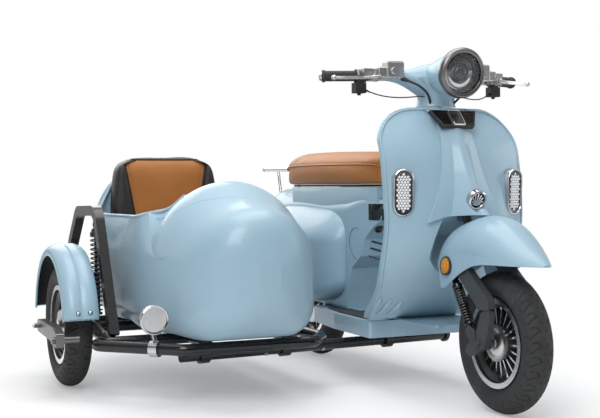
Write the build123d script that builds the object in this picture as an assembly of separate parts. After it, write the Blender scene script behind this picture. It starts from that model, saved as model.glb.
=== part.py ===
from build123d import *
import os
from math import atan2, cos, degrees, pi, radians, sin, sqrt, tan

# Motor scooter with a sidecar, in millimetres.
# Working frame: x is 0 on the scooter's centre plane and grows to the rider's left,
# forward is -Y, y is 0 on the rear axle and z is 0 on the ground.
# place() moves every piece into the part's own frame, whose origin is under the middle.

# ---- driving sizes -------------------------------------------------------------------
WHEELBASE = 1347.0
TYRE_RADIUS = 216.0
TYRE_WIDTH = 90.0
BEAD_RADIUS = 127.0
RIM_WIDTH = 72.0
SPOKE_COUNT = 20
RAKE = 26.0
AXIS_GROUND_Y = -1427.0
STEER_LIMIT = 30.0

SIDECAR_X = -645.0
SIDECAR_WHEEL_X = -1097.0
SIDECAR_WHEEL_Y = -290.0

FLOOR_TOP = 239.0
SEAT_BOTTOM = 697.0
SEAT_TOP = 820.0
BODY_TOP = 688.0

GRIP_END_X = 377.0
BAR_RADIUS = 11.0

FRONT_AXLE = Vector(0, -WHEELBASE, TYRE_RADIUS)
REAR_AXLE = Vector(0, 0, TYRE_RADIUS)
SIDECAR_AXLE = Vector(SIDECAR_WHEEL_X, SIDECAR_WHEEL_Y, TYRE_RADIUS)

# Moves the working frame's points into the part's frame.
ORIGIN = Vector(414.0, 555.0, 0)

parts = {}


def place(name, shape):
    parts[name] = shape


def steer_y(z):
    """y of the steering axis at height z."""
    return AXIS_GROUND_Y + z * tan(radians(RAKE))


STEER_PLANE = Plane(
    origin=(0, steer_y(600), 600),
    x_dir=(1, 0, 0),
    z_dir=(0, sin(radians(RAKE)), cos(radians(RAKE))),
)
STEER_AXIS = Axis((0, steer_y(600), 600), (0, sin(radians(RAKE)), cos(radians(RAKE))))


# ---- small builders ------------------------------------------------------------------
def side_outline(points, x_low, x_high, radius=0.0):
    """A plate with its outline in the YZ plane, from x_low to x_high."""
    face = make_face(Polyline(*points, close=True))
    if radius:
        face = fillet(face.vertices(), radius)
    return extrude(Plane.YZ.offset(x_low) * face, x_high - x_low)


def plan_outline(points, z_low, z_high, radius=0.0):
    """A plate with its outline in the XY plane, from z_low to z_high."""
    face = make_face(Polyline(*points, close=True))
    if radius:
        face = fillet(face.vertices(), radius)
    return extrude(Plane.XY.offset(z_low) * face, z_high - z_low)


def rod(start, end, radius):
    """A round bar between two points."""
    path = Line(start, end)
    return sweep(Plane(path @ 0, z_dir=path % 0) * Circle(radius), path=path)


def bent_rod(points, radius, bend):
    """A round bar along straight runs joined by tangent bends."""
    path = FilletPolyline(*points, radius=bend)
    return sweep(Plane(path @ 0, z_dir=path % 0) * Circle(radius), path=path)


def cord(points, radius):
    """A cord along straight runs, each bend as large as its two runs allow."""
    bends = []
    knots = [Vector(p) for p in points]
    for before, here, after in zip(knots, knots[1:], knots[2:]):
        one, two = here - before, after - here
        half_turn = radians(one.get_angle(two)) / 2
        bends.append(0.45 * min(one.length, two.length) / tan(half_turn))
    path = FilletPolyline(*points, radius=bends)
    print("cord radii", [round(b, 1) for b in bends], "length", round(path.length, 1))
    return sweep(Plane(path @ 0, z_dir=path % 0) * Circle(radius), path=path)


def less(shape, tools):
    """The shape with each tool cut away in turn."""
    for tool in tools:
        shape = shape - tool
    return shape


def across(shape, centre):
    """Turns a body of revolution from Z onto X and moves it to centre."""
    return Pos(*centre) * Rot(0, 90, 0) * shape


def disc(radius, x_low, x_high, centre, bore=0.0):
    """A disc or ring on an axis along X, from x_low to x_high beside centre."""
    face = Circle(radius) - Circle(bore) if bore else Circle(radius)
    return across(extrude(Plane.XY.offset(x_low) * face, x_high - x_low), centre)


def egg_section(y, centre_x, half, low, side_top, top, corner, shoulder):
    """A closed section across Y: flat bottom, upright sides and a crowned top."""
    rise = top - side_top
    reach = half - shoulder
    crown = (reach**2 + rise**2 - shoulder**2) / (2 * (rise - shoulder))
    middle = top - crown
    swing = atan2(side_top - middle, reach)
    tangent = (crown * cos(swing), middle + crown * sin(swing))
    bulge = (
        reach + shoulder * cos(swing / 2),
        side_top + shoulder * sin(swing / 2),
    )
    inset = corner * (1 - cos(pi / 4))
    foot = half - corner

    def mirrored(point):
        return (-point[0], point[1])

    face = make_face(
        [
            Line((-foot, low), (foot, low)),
            ThreePointArc((foot, low), (half - inset, low + inset), (half, low + corner)),
            Line((half, low + corner), (half, side_top)),
            ThreePointArc((half, side_top), bulge, tangent),
            ThreePointArc(tangent, (0, top), mirrored(tangent)),
            ThreePointArc(mirrored(tangent), mirrored(bulge), (-half, side_top)),
            Line((-half, side_top), (-half, low + corner)),
            ThreePointArc((-half, low + corner), (inset - half, low + inset), (-foot, low)),
        ]
    )
    return Plane(origin=(centre_x, y, 0), x_dir=(1, 0, 0), z_dir=(0, -1, 0)) * face


def arch_section(y, half, low, side_top, top, centre_x=0.0):
    """A closed section across Y: flat bottom, upright sides and one round top."""
    face = make_face(
        [
            Line((-half, low), (half, low)),
            Line((half, low), (half, side_top)),
            ThreePointArc((half, side_top), (0, top), (-half, side_top)),
            Line((-half, side_top), (-half, low)),
        ]
    )
    return Plane(origin=(centre_x, y, 0), x_dir=(1, 0, 0), z_dir=(0, -1, 0)) * face


def mirror_x(shape):
    """The same piece on the other side of the centre plane."""
    return mirror(shape, about=Plane.YZ)


# ---- wheels --------------------------------------------------------------------------
TYRE_WALL = 11.0


def tyre(centre):
    """A round-crowned tyre, hollow inside, open between its beads."""

    def outline(half, bead, low, high):
        shoulder = BEAD_RADIUS + 12
        return make_face(
            [
                Line((low, -bead), (low, bead)),
                Line((low, bead), (shoulder, bead)),
                ThreePointArc((shoulder, bead), (160, half - 1), (178, half)),
                ThreePointArc((178, half), (high, 0), (178, -half)),
                ThreePointArc((178, -half), (160, 1 - half), (shoulder, -bead)),
                Line((shoulder, -bead), (low, -bead)),
            ]
        )

    half = TYRE_WIDTH / 2
    bead = RIM_WIDTH / 2 - 7.2
    outer = outline(half, bead, BEAD_RADIUS, TYRE_RADIUS)
    inner = outline(
        half - TYRE_WALL, bead - TYRE_WALL, BEAD_RADIUS - 1, TYRE_RADIUS - TYRE_WALL
    )
    return across(revolve(Plane.XZ * (outer - inner), Axis.Z), centre)


def rim(centre, hub_radius):
    """A drop-centre rim with thin straight spokes and an open hub ring."""
    half = RIM_WIDTH / 2
    lip = BEAD_RADIUS + 10
    well = BEAD_RADIUS - 14
    profile = Polyline(
        (well - 6, -12), (BEAD_RADIUS - 8, -half + 12), (BEAD_RADIUS - 6, -half),
        (lip, -half), (lip, -half + 5), (BEAD_RADIUS, -half + 7),
        (BEAD_RADIUS, -half + 20), (well, -12), (well, 12),
        (BEAD_RADIUS, half - 20), (BEAD_RADIUS, half - 7), (lip, half - 5),
        (lip, half), (BEAD_RADIUS - 6, half), (BEAD_RADIUS - 8, half - 12),
        (well - 6, 12), close=True,
    )
    barrel = revolve(Plane.XZ * make_face(profile), Axis.Z)
    hub = extrude(Plane.XY.offset(-24) * (Circle(hub_radius) - Circle(hub_radius - 12)), 48)
    spoke_length = well - hub_radius
    spoke = Pos(hub_radius - 3 + spoke_length / 2, 0, 0) * Box(spoke_length + 3, 5, 30)
    taper = Pos(hub_radius + spoke_length / 2, 0, 26) * Rot(0, 7, 0) * Box(
        spoke_length + 40, 8, 30
    )
    spokes = [
        Rot(0, 0, turn * 360 / SPOKE_COUNT) * (spoke - taper - mirror(taper, about=Plane.XY))
        for turn in range(SPOKE_COUNT)
    ]
    return across(barrel + hub + spokes, centre)


AXLE_RADIUS = 8.0

front_hub_radius = 52.0
place("front_tyre", tyre(FRONT_AXLE))
place("front_rim", rim(FRONT_AXLE, front_hub_radius))
front_hub = disc(front_hub_radius - 12, -24, 24, FRONT_AXLE, AXLE_RADIUS + 0.05)
front_hub += disc(56, -31, -24, FRONT_AXLE, AXLE_RADIUS + 0.05)
front_disc = disc(92, 44, 48, FRONT_AXLE, 34)
for turn in range(12):
    hole = across(Rot(0, 0, turn * 30) * Pos(66, 0, 46) * Cylinder(6, 10), FRONT_AXLE)
    front_disc -= hole
front_disc += disc(40, 24, 48, FRONT_AXLE, AXLE_RADIUS + 0.05)
front_hub += front_disc
place("front_hub", front_hub)

place("rear_tyre", tyre(REAR_AXLE))
place("rear_rim", rim(REAR_AXLE, 84.0))
motor = disc(72, -38, 38, REAR_AXLE, AXLE_RADIUS + 0.05)
motor += disc(84, 25, 36, REAR_AXLE, 60)
motor += disc(84, -36, -25, REAR_AXLE, 60)
place("rear_hub_motor", motor)

place("sidecar_tyre", tyre(SIDECAR_AXLE))
sidecar_rim = rim(SIDECAR_AXLE, front_hub_radius)
sidecar_rim += disc(front_hub_radius - 10, -28, 28, SIDECAR_AXLE, AXLE_RADIUS + 0.05)
place("sidecar_rim", sidecar_rim)

# ---- fork, links and front mudguard, which turn with the bars --------------------------
STEM_RADIUS = 14.0
BEARING_LOW = 640.0
BEARING_HIGH = 860.0
FORK_X = 78.0


def on_axis(z):
    """The steering axis point at height z."""
    return Vector(0, steer_y(z), z)


def steering_room(steps):
    """The turned space that the fork sweeps, from (height on the axis, radius) steps."""
    slant = cos(radians(RAKE))
    outline = [(0, steps[0][0] / slant)]
    outline += [(radius, height / slant) for height, radius in steps]
    outline += [(0, steps[-1][0] / slant)]
    middle = Plane(origin=on_axis(0), x_dir=(1, 0, 0), z_dir=(0, -slant, sin(radians(RAKE))))
    return revolve(middle * make_face(Polyline(*outline, close=True)), STEER_AXIS)


crown_z = 474.0
stem = rod(on_axis(crown_z), on_axis(945), STEM_RADIUS)
crown = Pos(0, steer_y(crown_z), crown_z) * Rot(-RAKE, 0, 0) * Box(2 * FORK_X + 4, 46, 30)
crown = fillet(crown.edges().filter_by(Axis.X), 10)
fork_leg = side_outline(
    [(-1214, 488), (-1176, 488), (-1170, 462), (-1345, 318), (-1402, 324), (-1398, 352)],
    FORK_X - 12, FORK_X + 12, 8,
)
fork_leg += side_outline(
    [(-1214, 478), (-1176, 478), (-1176, 402), (-1190, 392), (-1206, 404), (-1212, 430)],
    FORK_X + 12, FORK_X + 14, 4,
)
fork_leg += rod((FORK_X - 15, -1191, 406), (FORK_X + 14, -1191, 406), 5)
fork = stem + crown + fork_leg + mirror_x(fork_leg)
place("fork", fork)

link_outline = [
    (-1404, 322), (-1356, 312), (-1338, 262), (-1280, 206),
    (-1266, 184), (-1292, 172), (-1336, 190), (-1372, 208), (-1394, 262),
]
blade = side_outline(link_outline, FORK_X - 10, FORK_X + 10, 8)
link = blade + disc(20, FORK_X - 22, FORK_X - 10, FRONT_AXLE)
link += side_outline(
    [(-1330, 228), (-1326, 256), (-1290, 268), (-1276, 250), (-1290, 226)],
    FORK_X + 10, FORK_X + 14,
)
link += rod((FORK_X - 14, -1291, 250), (FORK_X + 14, -1291, 250), 5)


def damper(top, bottom, coil_radius):
    """A coil-over: damper body, two end eyes and the coil as stacked rings."""
    start, end = Vector(top), Vector(bottom)
    line = end - start
    unit = line.normalized()
    body = rod(start + unit * 6, end - unit * 6, coil_radius * 0.45)
    upper = rod(start + unit * 16, start + unit * 34, coil_radius * 0.9)
    lower = rod(end - unit * 26, end - unit * 18, coil_radius * 0.9)
    eyes = [Pos(*point) * Rot(0, 90, 0) * Cylinder(13, 15) for point in (start, end)]
    rings = []
    room = line.length - 70
    turns = int(room / 15)
    for turn in range(turns):
        spot = start + unit * (40 + (turn + 0.5) * room / turns)
        rings.append(Plane(spot, z_dir=unit) * Cylinder(coil_radius, 5))
    return body + upper + lower + eyes + rings


caliper = side_outline(
    [(-1446, 268), (-1424, 312), (-1388, 322), (-1382, 290), (-1400, 250), (-1434, 240)],
    38, 66, 8,
)
caliper -= disc(94, 42.5, 49.5, FRONT_AXLE)
caliper += side_outline([(-1430, 270), (-1392, 262), (-1370, 270), (-1380, 304), (-1420, 300)], 62, 74)
front_links = link + mirror_x(link) + caliper
front_links += rod((-98, -WHEELBASE, TYRE_RADIUS), (98, -WHEELBASE, TYRE_RADIUS), AXLE_RADIUS)
front_links -= fork
place("front_links", front_links)
front_shock = damper((FORK_X, -1191, 406), (FORK_X, -1291, 250), 16)
front_shock = less(front_shock, [fork, front_links])
place("front_shocks", front_shock + mirror_x(front_shock))

# Front mudguard: nose stations from the tip to the tail as (y, half, low, side_top, top).
GUARD_STATIONS = [
    (-1565, 15, 446, 456, 464),
    (-1527, 40, 430, 462, 490),
    (-1470, 71, 400, 470, 528),
    (-1383, 92, 380, 478, 582),
    (-1250, 100, 340, 480, 593),
    (-1160, 96, 320, 470, 569),
    (-1100, 84, 310, 450, 520),
]
GUARD_SKIN = 3.5


def guard_shape(skin):
    """The mudguard's outer form, or with a skin its hollow."""
    faces = []
    for y, half, low, side_top, top in GUARD_STATIONS:
        shift = skin * (1.0 if y == GUARD_STATIONS[0][0] else 0.0)
        drop = 40 * (skin > 0)
        faces.append(
            arch_section(y + shift, half - skin, low - drop, side_top - skin / 2, top - skin)
        )
    return loft(faces)


guard_outer = guard_shape(0.0)
guard_low = side_outline(
    [
        (-1640, 457), (-1400, 457), (-1330, 452), (-1270, 430), (-1210, 398),
        (-1165, 372), (-1130, 366), (-1104, 440), (-1060, 440), (-1060, 250), (-1640, 250),
    ],
    -140, 140, 10,
)
front_mudguard = guard_outer - guard_shape(GUARD_SKIN) - guard_low
front_mudguard -= rod(on_axis(400), on_axis(700), STEM_RADIUS + 0.1)
place("front_mudguard", front_mudguard)
reflector_disc = Pos(101, -1180, 441) * Rot(0, 84, 0) * Cylinder(29, 10) - guard_outer
place("reflectors", reflector_disc + mirror_x(reflector_disc))

# ---- headset, bars and controls --------------------------------------------------------
HEAD_Z = 1052.0
LAMP_TILT = 8.0
lamp_plane = Plane(
    origin=(0, -1112, HEAD_Z),
    x_dir=(1, 0, 0),
    z_dir=(0, -cos(radians(LAMP_TILT)), -sin(radians(LAMP_TILT))),
)


def across_y(y, half, depth, z):
    """An oval section facing along Y."""
    return Plane(origin=(0, y, z), x_dir=(1, 0, 0), z_dir=(0, -1, 0)) * Ellipse(half, depth)


bowl = loft(
    [
        lamp_plane.offset(-8) * Ellipse(74, 74),
        across_y(-1040, 70, 66, HEAD_Z - 2),
        across_y(-975, 58, 48, HEAD_Z),
        across_y(-915, 38, 26, HEAD_Z + 4),
    ]
)
neck = loft(
    [
        Plane(origin=(0, -948, 953), x_dir=(1, 0, 0), z_dir=(0, 0, 1)) * Ellipse(70, 60),
        Plane(origin=(0, -950, 976), x_dir=(1, 0, 0), z_dir=(0, 0, 1)) * Ellipse(64, 58),
        Plane(origin=(0, -960, 1010), x_dir=(1, 0, 0), z_dir=(0, 0, 1)) * Ellipse(72, 60),
        Plane(origin=(0, -975, 1045), x_dir=(1, 0, 0), z_dir=(0, 0, 1)) * Ellipse(88, 60),
    ]
)
# Arm stations: (x, y, z, half depth along y, half height).
ARM_STATIONS = [
    (0, -960, 1036, 56, 60),
    (60, -954, 1036, 46, 52),
    (105, -944, 1044, 32, 31),
    (150, -932, 1051, 22, 18),
    (205, -917, 1054, 18, 17),
]
arm = loft(
    [
        Plane(origin=(x, y, z), x_dir=(0, -1, 0), z_dir=(1, 0, 0)) * Ellipse(depth, height)
        for x, y, z, depth, height in ARM_STATIONS
    ]
)
bar_points = [
    (-GRIP_END_X, -843, 1054), (-210, -916, 1054), (210, -916, 1054), (GRIP_END_X, -843, 1054),
]
bar = bent_rod(bar_points, BAR_RADIUS, 60)
headset = bowl + neck + arm + mirror_x(arm)
headset -= bar
headset -= rod(on_axis(900), on_axis(945), STEM_RADIUS)
headset -= Pos(0, 0, 0) * extrude(lamp_plane.offset(-52) * Circle(62), 60)
place("headset", headset)
place("handlebar", bar)

lamp_ring = revolve(
    Plane(origin=lamp_plane.origin, x_dir=(1, 0, 0), z_dir=(0, sin(radians(LAMP_TILT)), -cos(radians(LAMP_TILT))))
    * make_face(
        Polyline(
            (60, -8), (76, -8), (77.5, -2), (76, 6), (70, 10), (64, 9), (61, 4), close=True,
        )
    ),
    Axis(lamp_plane.origin, lamp_plane.z_dir),
)
reflector = extrude(lamp_plane.offset(-50) * Circle(60), 46)
reflector -= extrude(lamp_plane.offset(-44) * Circle(54), 60)
reflector += extrude(lamp_plane.offset(-44) * Circle(26), 22)
place("headlight_bowl", reflector + lamp_ring + extrude(lamp_plane.offset(-8) * (Circle(62) - Circle(59.8)), 6))
place("headlight_lens", extrude(lamp_plane.offset(-3.5) * Circle(59.5), 5))

# Threaded holes for the mirrors' stems, open at the top of each control block.
MIRROR_X = 211.0
MIRROR_Y = -952.0
MIRROR_Z = 1077.0
MIRROR_HOLE = 4.25


def across_y_disc(x, y, z, radius, depth):
    """A short round cap on an axis along Y."""
    return Pos(x, y, z) * Rot(90, 0, 0) * Cylinder(radius, depth)


for name, side in (("grip_right", -1), ("grip_left", 1)):
    outer_end = Vector(side * (GRIP_END_X + 3), -843 + 0, 1054)
    knuckle = Vector(side * 210, -916, 1054)
    unit = (outer_end - knuckle).normalized()
    grip = rod(knuckle + unit * 66, outer_end + unit * 2, 17.5)
    grip += rod(knuckle + unit * 60, knuckle + unit * 66, 22)
    housing = rod(knuckle + unit * 30, knuckle + unit * 58, 21)
    housing += Pos(*(knuckle + unit * 48)) * Pos(side * 6, 0, -40) * Box(38, 34, 34)
    housing += Pos(*(knuckle + unit * 44)) * Pos(0, 0, -20) * Box(22, 26, 26)
    place(name, grip + housing + rod(knuckle + unit * 56, knuckle + unit * 62, 20) - bar)
    perch = Pos(*(knuckle + unit * 14)) * Pos(0, -6, 0) * Box(28, 42, 34)
    perch += fillet((Pos(side * 165, -956, 1070) * Box(62, 44, 52)).edges(), 3)
    perch += fillet((Pos(side * 209, -952, 1061) * Box(30, 40, 32)).edges(), 3)
    perch += Pos(side * 244, -930, 1062) * Box(44, 36, 24)
    perch += across_y_disc(side * 172, -981, 1066, 9, 8)
    perch -= Pos(side * MIRROR_X, MIRROR_Y, MIRROR_Z - 13) * Cylinder(MIRROR_HOLE, 26)
    lever = plan_outline(
        [
            (side * 226, -972), (side * 262, -972), (side * 330, -948), (side * 372, -934),
            (side * 372, -946), (side * 330, -962), (side * 262, -988), (side * 226, -988),
        ],
        1036, 1046,
    )
    lever += Pos(side * 372, -940, 1041) * Sphere(8)
    lever += Pos(side * 236, -966, 1044) * Cylinder(11, 26)
    perch = perch + lever + Pos(side * 234, -950, 1054) * Box(28, 40, 20)
    perch = less(perch, [bar, headset, parts[name]])
    place("brake_control_" + name[5:], perch)

# Brake hoses from the control blocks and thin switch cables, both into the neck.
HOSE_RADIUS = 4.0
CABLE_RADIUS = 2.0
HOSE_ROUTE = [
    (134, -966, 1042), (112, -984, 1032), (84, -1002, 1014), (60, -1012, 986), (42, -986, 960),
]
CABLE_ROUTE = [
    (241, -902, 1008), (222, -914, 998), (190, -934, 986), (150, -952, 981),
    (110, -972, 982), (78, -984, 986), (50, -972, 984),
]
neck_solid = headset + bar
for name, side in (("right", -1), ("left", 1)):
    for kind, route, radius in (
        ("brake_hose_", HOSE_ROUTE, HOSE_RADIUS), ("switch_cable_", CABLE_ROUTE, CABLE_RADIUS),
    ):
        line = cord([(side * x, y, z) for x, y, z in route], radius)
        line = less(line, [neck_solid, parts["brake_control_" + name], parts["grip_" + name]])
        place(kind + name, line)

# ---- leg shield --------------------------------------------------------------------------
# Strips from the top down: (z, half width, edge y, middle y, depth along y).
SHIELD_STRIPS = [
    (962, 258, -980, -1016, 14),
    (850, 258, -1025, -1073, 14),
    (750, 258, -1058, -1108, 14),
    (660, 257, -1069, -1127, 14),
    (566, 255, -1073, -1140, 14),
    (490, 256, -1058, -1127, 15),
    (431, 256, -1040, -1098, 16),
    (374, 247, -1008, -1056, 20),
    (323, 238, -962, -1003, 26),
    (276, 226, -900, -940, 34),
    (245, 205, -856, -880, 40),
]


def shield_strip(z, half, edge, middle, depth):
    """One horizontal strip of the leg shield."""
    face = make_face(
        [
            ThreePointArc((-half, edge), (0, middle), (half, edge)),
            Line((half, edge), (half, edge + depth)),
            ThreePointArc((half, edge + depth), (0, middle + depth), (-half, edge + depth)),
            Line((-half, edge + depth), (-half, edge)),
        ]
    )
    return Plane.XY.offset(z) * face


GAP = 0.4


def shield_block(ahead, behind):
    """The leg shield's sheet made thicker by ahead in front and behind at its back."""
    return loft(
        [
            shield_strip(z, half, edge - ahead, middle - ahead, depth + ahead + behind)
            for z, half, edge, middle, depth in reversed(SHIELD_STRIPS)
        ]
    )


shield_sheet = shield_block(0, 0)
shield_core = shield_block(GAP, 160)
shield_front = shield_block(260, GAP)
shield_face = make_face(Polyline((-264, 240), (264, 240), (262, 946), (-262, 946), close=True))
shield_face = fillet(shield_face.vertices().sort_by(Axis.Y)[-2:], 142)
shield_window = extrude(Plane.XZ.offset(700) * shield_face, 500)
steer_sweep = steering_room([(300, 147), (500, 147), (530, 124), (575, 94), (604, 68)])
head_hole = rod(on_axis(560), on_axis(1000), 30)
leg_shield = (shield_sheet & shield_window) - steer_sweep - head_hole
place("leg_shield", leg_shield)

# Front cover: (z, half width, back y, shoulder y, ridge y).
COVER_STRIPS = [
    (938, 88, -980, -1034, -1044),
    (884, 56, -1000, -1072, -1084),
    (803, 66, -1020, -1105, -1126),
    (713, 82, -1040, -1128, -1168),
    (650, 104, -1050, -1140, -1208),
    (600, 126, -1050, -1144, -1256),
    (560, 141, -1050, -1146, -1290),
]


def cover_strip(z, half, back, shoulder, ridge):
    """One horizontal strip of the ridged front cover."""
    face = make_face(
        [
            Line((-half, back), (-half, shoulder + 8)),
            Line((-half, shoulder + 8), (-half * 0.5, shoulder - 4)),
            Line((-half * 0.5, shoulder - 4), (-12, ridge + 3)),
            ThreePointArc((-12, ridge + 3), (0, ridge), (12, ridge + 3)),
            Line((12, ridge + 3), (half * 0.5, shoulder - 4)),
            Line((half * 0.5, shoulder - 4), (half, shoulder + 8)),
            Line((half, shoulder + 8), (half, back)),
            Line((half, back), (-half, back)),
        ]
    )
    return Plane.XY.offset(z) * face


front_cover = loft([cover_strip(*strip) for strip in reversed(COVER_STRIPS)])

cover_window = make_face(
    [
        ThreePointArc((-170, 560), (0, 600), (170, 560)),
        Line((170, 560), (170, 960)),
        Line((170, 960), (-170, 960)),
        Line((-170, 960), (-170, 560)),
    ]
)
front_cover &= extrude(Plane.XZ.offset(900) * cover_window, 500)
front_cover -= shield_core
front_cover -= head_hole
place("front_cover", front_cover)

badge = side_outline([(-1000, 936), (-1056, 936), (-1096, 884), (-1030, 884)], -90, 90)
badge_front = make_face(Polyline((-84, 936), (84, 936), (56, 884), (-56, 884), close=True))
badge &= extrude(Plane.XZ.offset(900) * badge_front, 300)
place("badge_plate", badge - front_cover - shield_core)

horn_plane = Plane(origin=(0, -1200, 646), x_dir=(1, 0, 0), z_dir=(0, -0.92, -0.39))
horn = extrude(horn_plane.offset(-16) * Circle(32), 24) - extrude(horn_plane.offset(3) * Circle(25), 10)
for turn in range(7):
    horn += extrude(
        horn_plane.offset(1) * (Pos(0, -16) * Rot(0, 0, -54 + 18 * turn) * Pos(0, 18) * Rectangle(2.6, 34)), 5
    ) & extrude(horn_plane.offset(-2) * Circle(26), 12)
parts["front_cover"] = front_cover = front_cover - extrude(horn_plane.offset(-16) * Circle(32), 60)
place("horn_grille", horn)

for name, side in (("signal_right", -1), ("signal_left", 1)):
    lamp_face = Plane(
        origin=(side * 207, -1098, 670),
        x_dir=(cos(radians(15)), side * sin(radians(15)), 0),
        z_dir=(side * sin(radians(15)), -cos(radians(15)), -0.05),
    )
    bezel = extrude(lamp_face.offset(-30) * SlotOverall(152, 70, rotation=90), 34)
    lens = extrude(lamp_face.offset(-4) * SlotOverall(137, 55, rotation=90), 11)
    place(name, bezel + lens - shield_core)

# ---- body under and behind the leg shield -------------------------------------------------
# Nose keel under the leg shield, behind the wheel: (z, half width, front y, back y).
NOSE_STRIPS = [
    (560, 104, -1000, -930),
    (450, 104, -1040, -900),
    (340, 106, -1010, -780),
    (262, 104, -900, -700),
    (178, 80, -738, -604),
]


def nose_strip(z, half, front, back):
    """One horizontal strip of the nose keel."""
    face = make_face(
        [
            ThreePointArc((-half, back), (0, front), (half, back)),
            Line((half, back), (-half, back)),
        ]
    )
    return Plane.XY.offset(z) * face


nose_keel = loft([nose_strip(*strip) for strip in reversed(NOSE_STRIPS)])
nose_keel -= shield_front
nose_keel -= rod(on_axis(150), on_axis(700), 152)
nose_keel -= rod(on_axis(380), on_axis(700), 30)

# Knee panel behind the leg shield: (z, half width, side y, middle y).
KNEE_STRIPS = [
    (880, 104, -1000, -962),
    (720, 124, -1010, -930),
    (560, 138, -1000, -900),
    (430, 136, -950, -862),
    (330, 128, -880, -796),
    (243.4, 118, -770, -706),
]


def knee_strip(z, half, side_y, middle):
    """One horizontal strip of the knee panel, round towards the rider."""
    face = make_face(
        [
            Line((-half, -1150), (-half, side_y)),
            ThreePointArc((-half, side_y), (0, middle), (half, side_y)),
            Line((half, side_y), (half, -1150)),
            Line((half, -1150), (-half, -1150)),
        ]
    )
    return Plane.XY.offset(z) * face


inner_shield = loft([knee_strip(*strip) for strip in reversed(KNEE_STRIPS)])
inner_shield -= shield_front
inner_shield -= nose_keel
inner_shield -= head_hole
inner_shield -= steering_room([(150, 178), (400, 178), (440, 152), (590, 152)])

head_tube = rod(on_axis(BEARING_LOW), on_axis(BEARING_HIGH), 26)
head_tube -= rod(on_axis(BEARING_LOW - 10), on_axis(BEARING_HIGH + 10), STEM_RADIUS + 0.06)
down_tube = bent_rod([(0, -985, 700), (0, -905, 420), (0, -700, 205), (0, -560, 196)], 24, 100)
down_tube -= rod(on_axis(BEARING_LOW - 40), on_axis(BEARING_HIGH + 40), 20)
RAIL_X = 95.0
RAIL_RADIUS = 9.0
frame_rail = bent_rod(
    [
        (RAIL_X, -700, 200), (RAIL_X, -400, 200), (RAIL_X, -345, 330),
        (RAIL_X, -240, 520), (RAIL_X, 150, 560),
    ],
    RAIL_RADIUS, 60,
)
frame_rail += side_outline(
    [(-352, 296), (-262, 306), (-246, 324), (-262, 344), (-330, 372)], RAIL_X - 14, RAIL_X - 8, 4,
)
frame_rail += side_outline([(84, 412), (110, 412), (116, 556), (78, 552)], RAIL_X - 13, RAIL_X - 7, 4)
frame_rail += rod((RAIL_X - 42, 96, 424), (RAIL_X - 9, 96, 424), 5)
front_cross = rod((-RAIL_X, -690, 200), (RAIL_X, -690, 200), 12)
back_cross = rod((-RAIL_X, 142, 559), (RAIL_X, 142, 559), 8.9)
swing_bolt = rod((-RAIL_X + 9, -268, 324), (RAIL_X - 9, -268, 324), 6)
frame_members = [
    head_tube, down_tube, frame_rail, mirror_x(frame_rail), front_cross, back_cross, swing_bolt,
]
scooter_frame = frame_members[0]
for member in frame_members[1:]:
    scooter_frame = scooter_frame + member
nose_keel = less(nose_keel, frame_members) - Pos(-30, -650, 160) * Box(34, 74, 80)
place("nose_keel", nose_keel)
place("inner_shield", less(inner_shield, frame_members))
place("leg_shield", leg_shield - down_tube)

# Floor: a tray with its rim down, open underneath.
PAN_LOW = 178.0
PAN_WALL = 5.0
floor_points = [
    (-200, -845), (-196, -560), (-170, -330), (-150, -300), (150, -300), (170, -330), (196, -560), (200, -845),
]
floor_room = [
    (-195, -840), (-191, -560), (-166, -333), (-148, -305), (148, -305), (166, -333), (191, -560), (195, -840),
]
floorboard = plan_outline(floor_points, PAN_LOW, FLOOR_TOP - 4, 12)
floorboard -= plan_outline(floor_room, PAN_LOW - 10, FLOOR_TOP - 4 - PAN_WALL, 8)
floorboard -= shield_front
floorboard -= nose_keel
floorboard -= parts["inner_shield"]
floorboard = less(floorboard, frame_members)
place("floorboard", floorboard)
mat = plan_outline(
    [(-180, -790), (-176, -560), (-156, -420), (156, -420), (176, -560), (180, -790)],
    FLOOR_TOP - 4, FLOOR_TOP, 10,
)

belly = loft(
    [
        Plane(origin=(0, -660, 200), x_dir=(1, 0, 0), z_dir=(0, -1, 0)) * Rectangle(150, 50),
        Plane(origin=(0, -340, 196), x_dir=(1, 0, 0), z_dir=(0, -1, 0)) * Rectangle(170, 58),
    ]
)
battery = Pos(0, -492, 197) * Box(108, 214, 50)
belly -= Pos(0, -500, 205) * Box(120, 250, 68)
belly = less(belly, frame_members) - floorboard - nose_keel
belly -= Pos(-30, -650, 160) * Box(34, 74, 80)
place("belly_pan", belly)
place("battery_box", less(battery, frame_members))

# Rear body: stations from the front to the tail as (y, half, low, side_top, top).
BODY_STATIONS = [
    (-690, 64, 236, 606, 660, 10, 36),
    (-600, 92, 236, 622, 688, 12, 50),
    (-380, 112, 236, 590, 688, 12, 60),
    (-100, 122, 250, 600, 688, 14, 60),
    (150, 118, 300, 590, 687, 20, 60),
    (290, 92, 380, 600, 676, 24, 50),
    (338, 58, 440, 612, 655, 22, 30),
]


def body_form(skin):
    """The rear body's outer form, or with a skin its hollow."""
    faces = []
    last = len(BODY_STATIONS) - 1
    for number, (y, half, low, side_top, top, corner, shoulder) in enumerate(BODY_STATIONS):
        shift = skin if number == 0 else -skin if number == last else 0
        faces.append(
            egg_section(
                y + shift, 0, half - skin, low + skin, side_top, top - skin,
                corner - skin / 2, shoulder - skin,
            )
        )
    return loft(faces)




def nose_cut(back):
    """What is cut away in front of the body's sloping nose, moved back by a wall."""
    line = [(-700, 640), (-682, 568), (-645, 544), (-600, 500), (-577, 437), (-516, 389), (-490, 300), (-470, 200)]
    knots = [(y + back, z) for y, z in line]
    return side_outline([*knots, (-800, 200), (-800, 640)], -140, 140)


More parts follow.
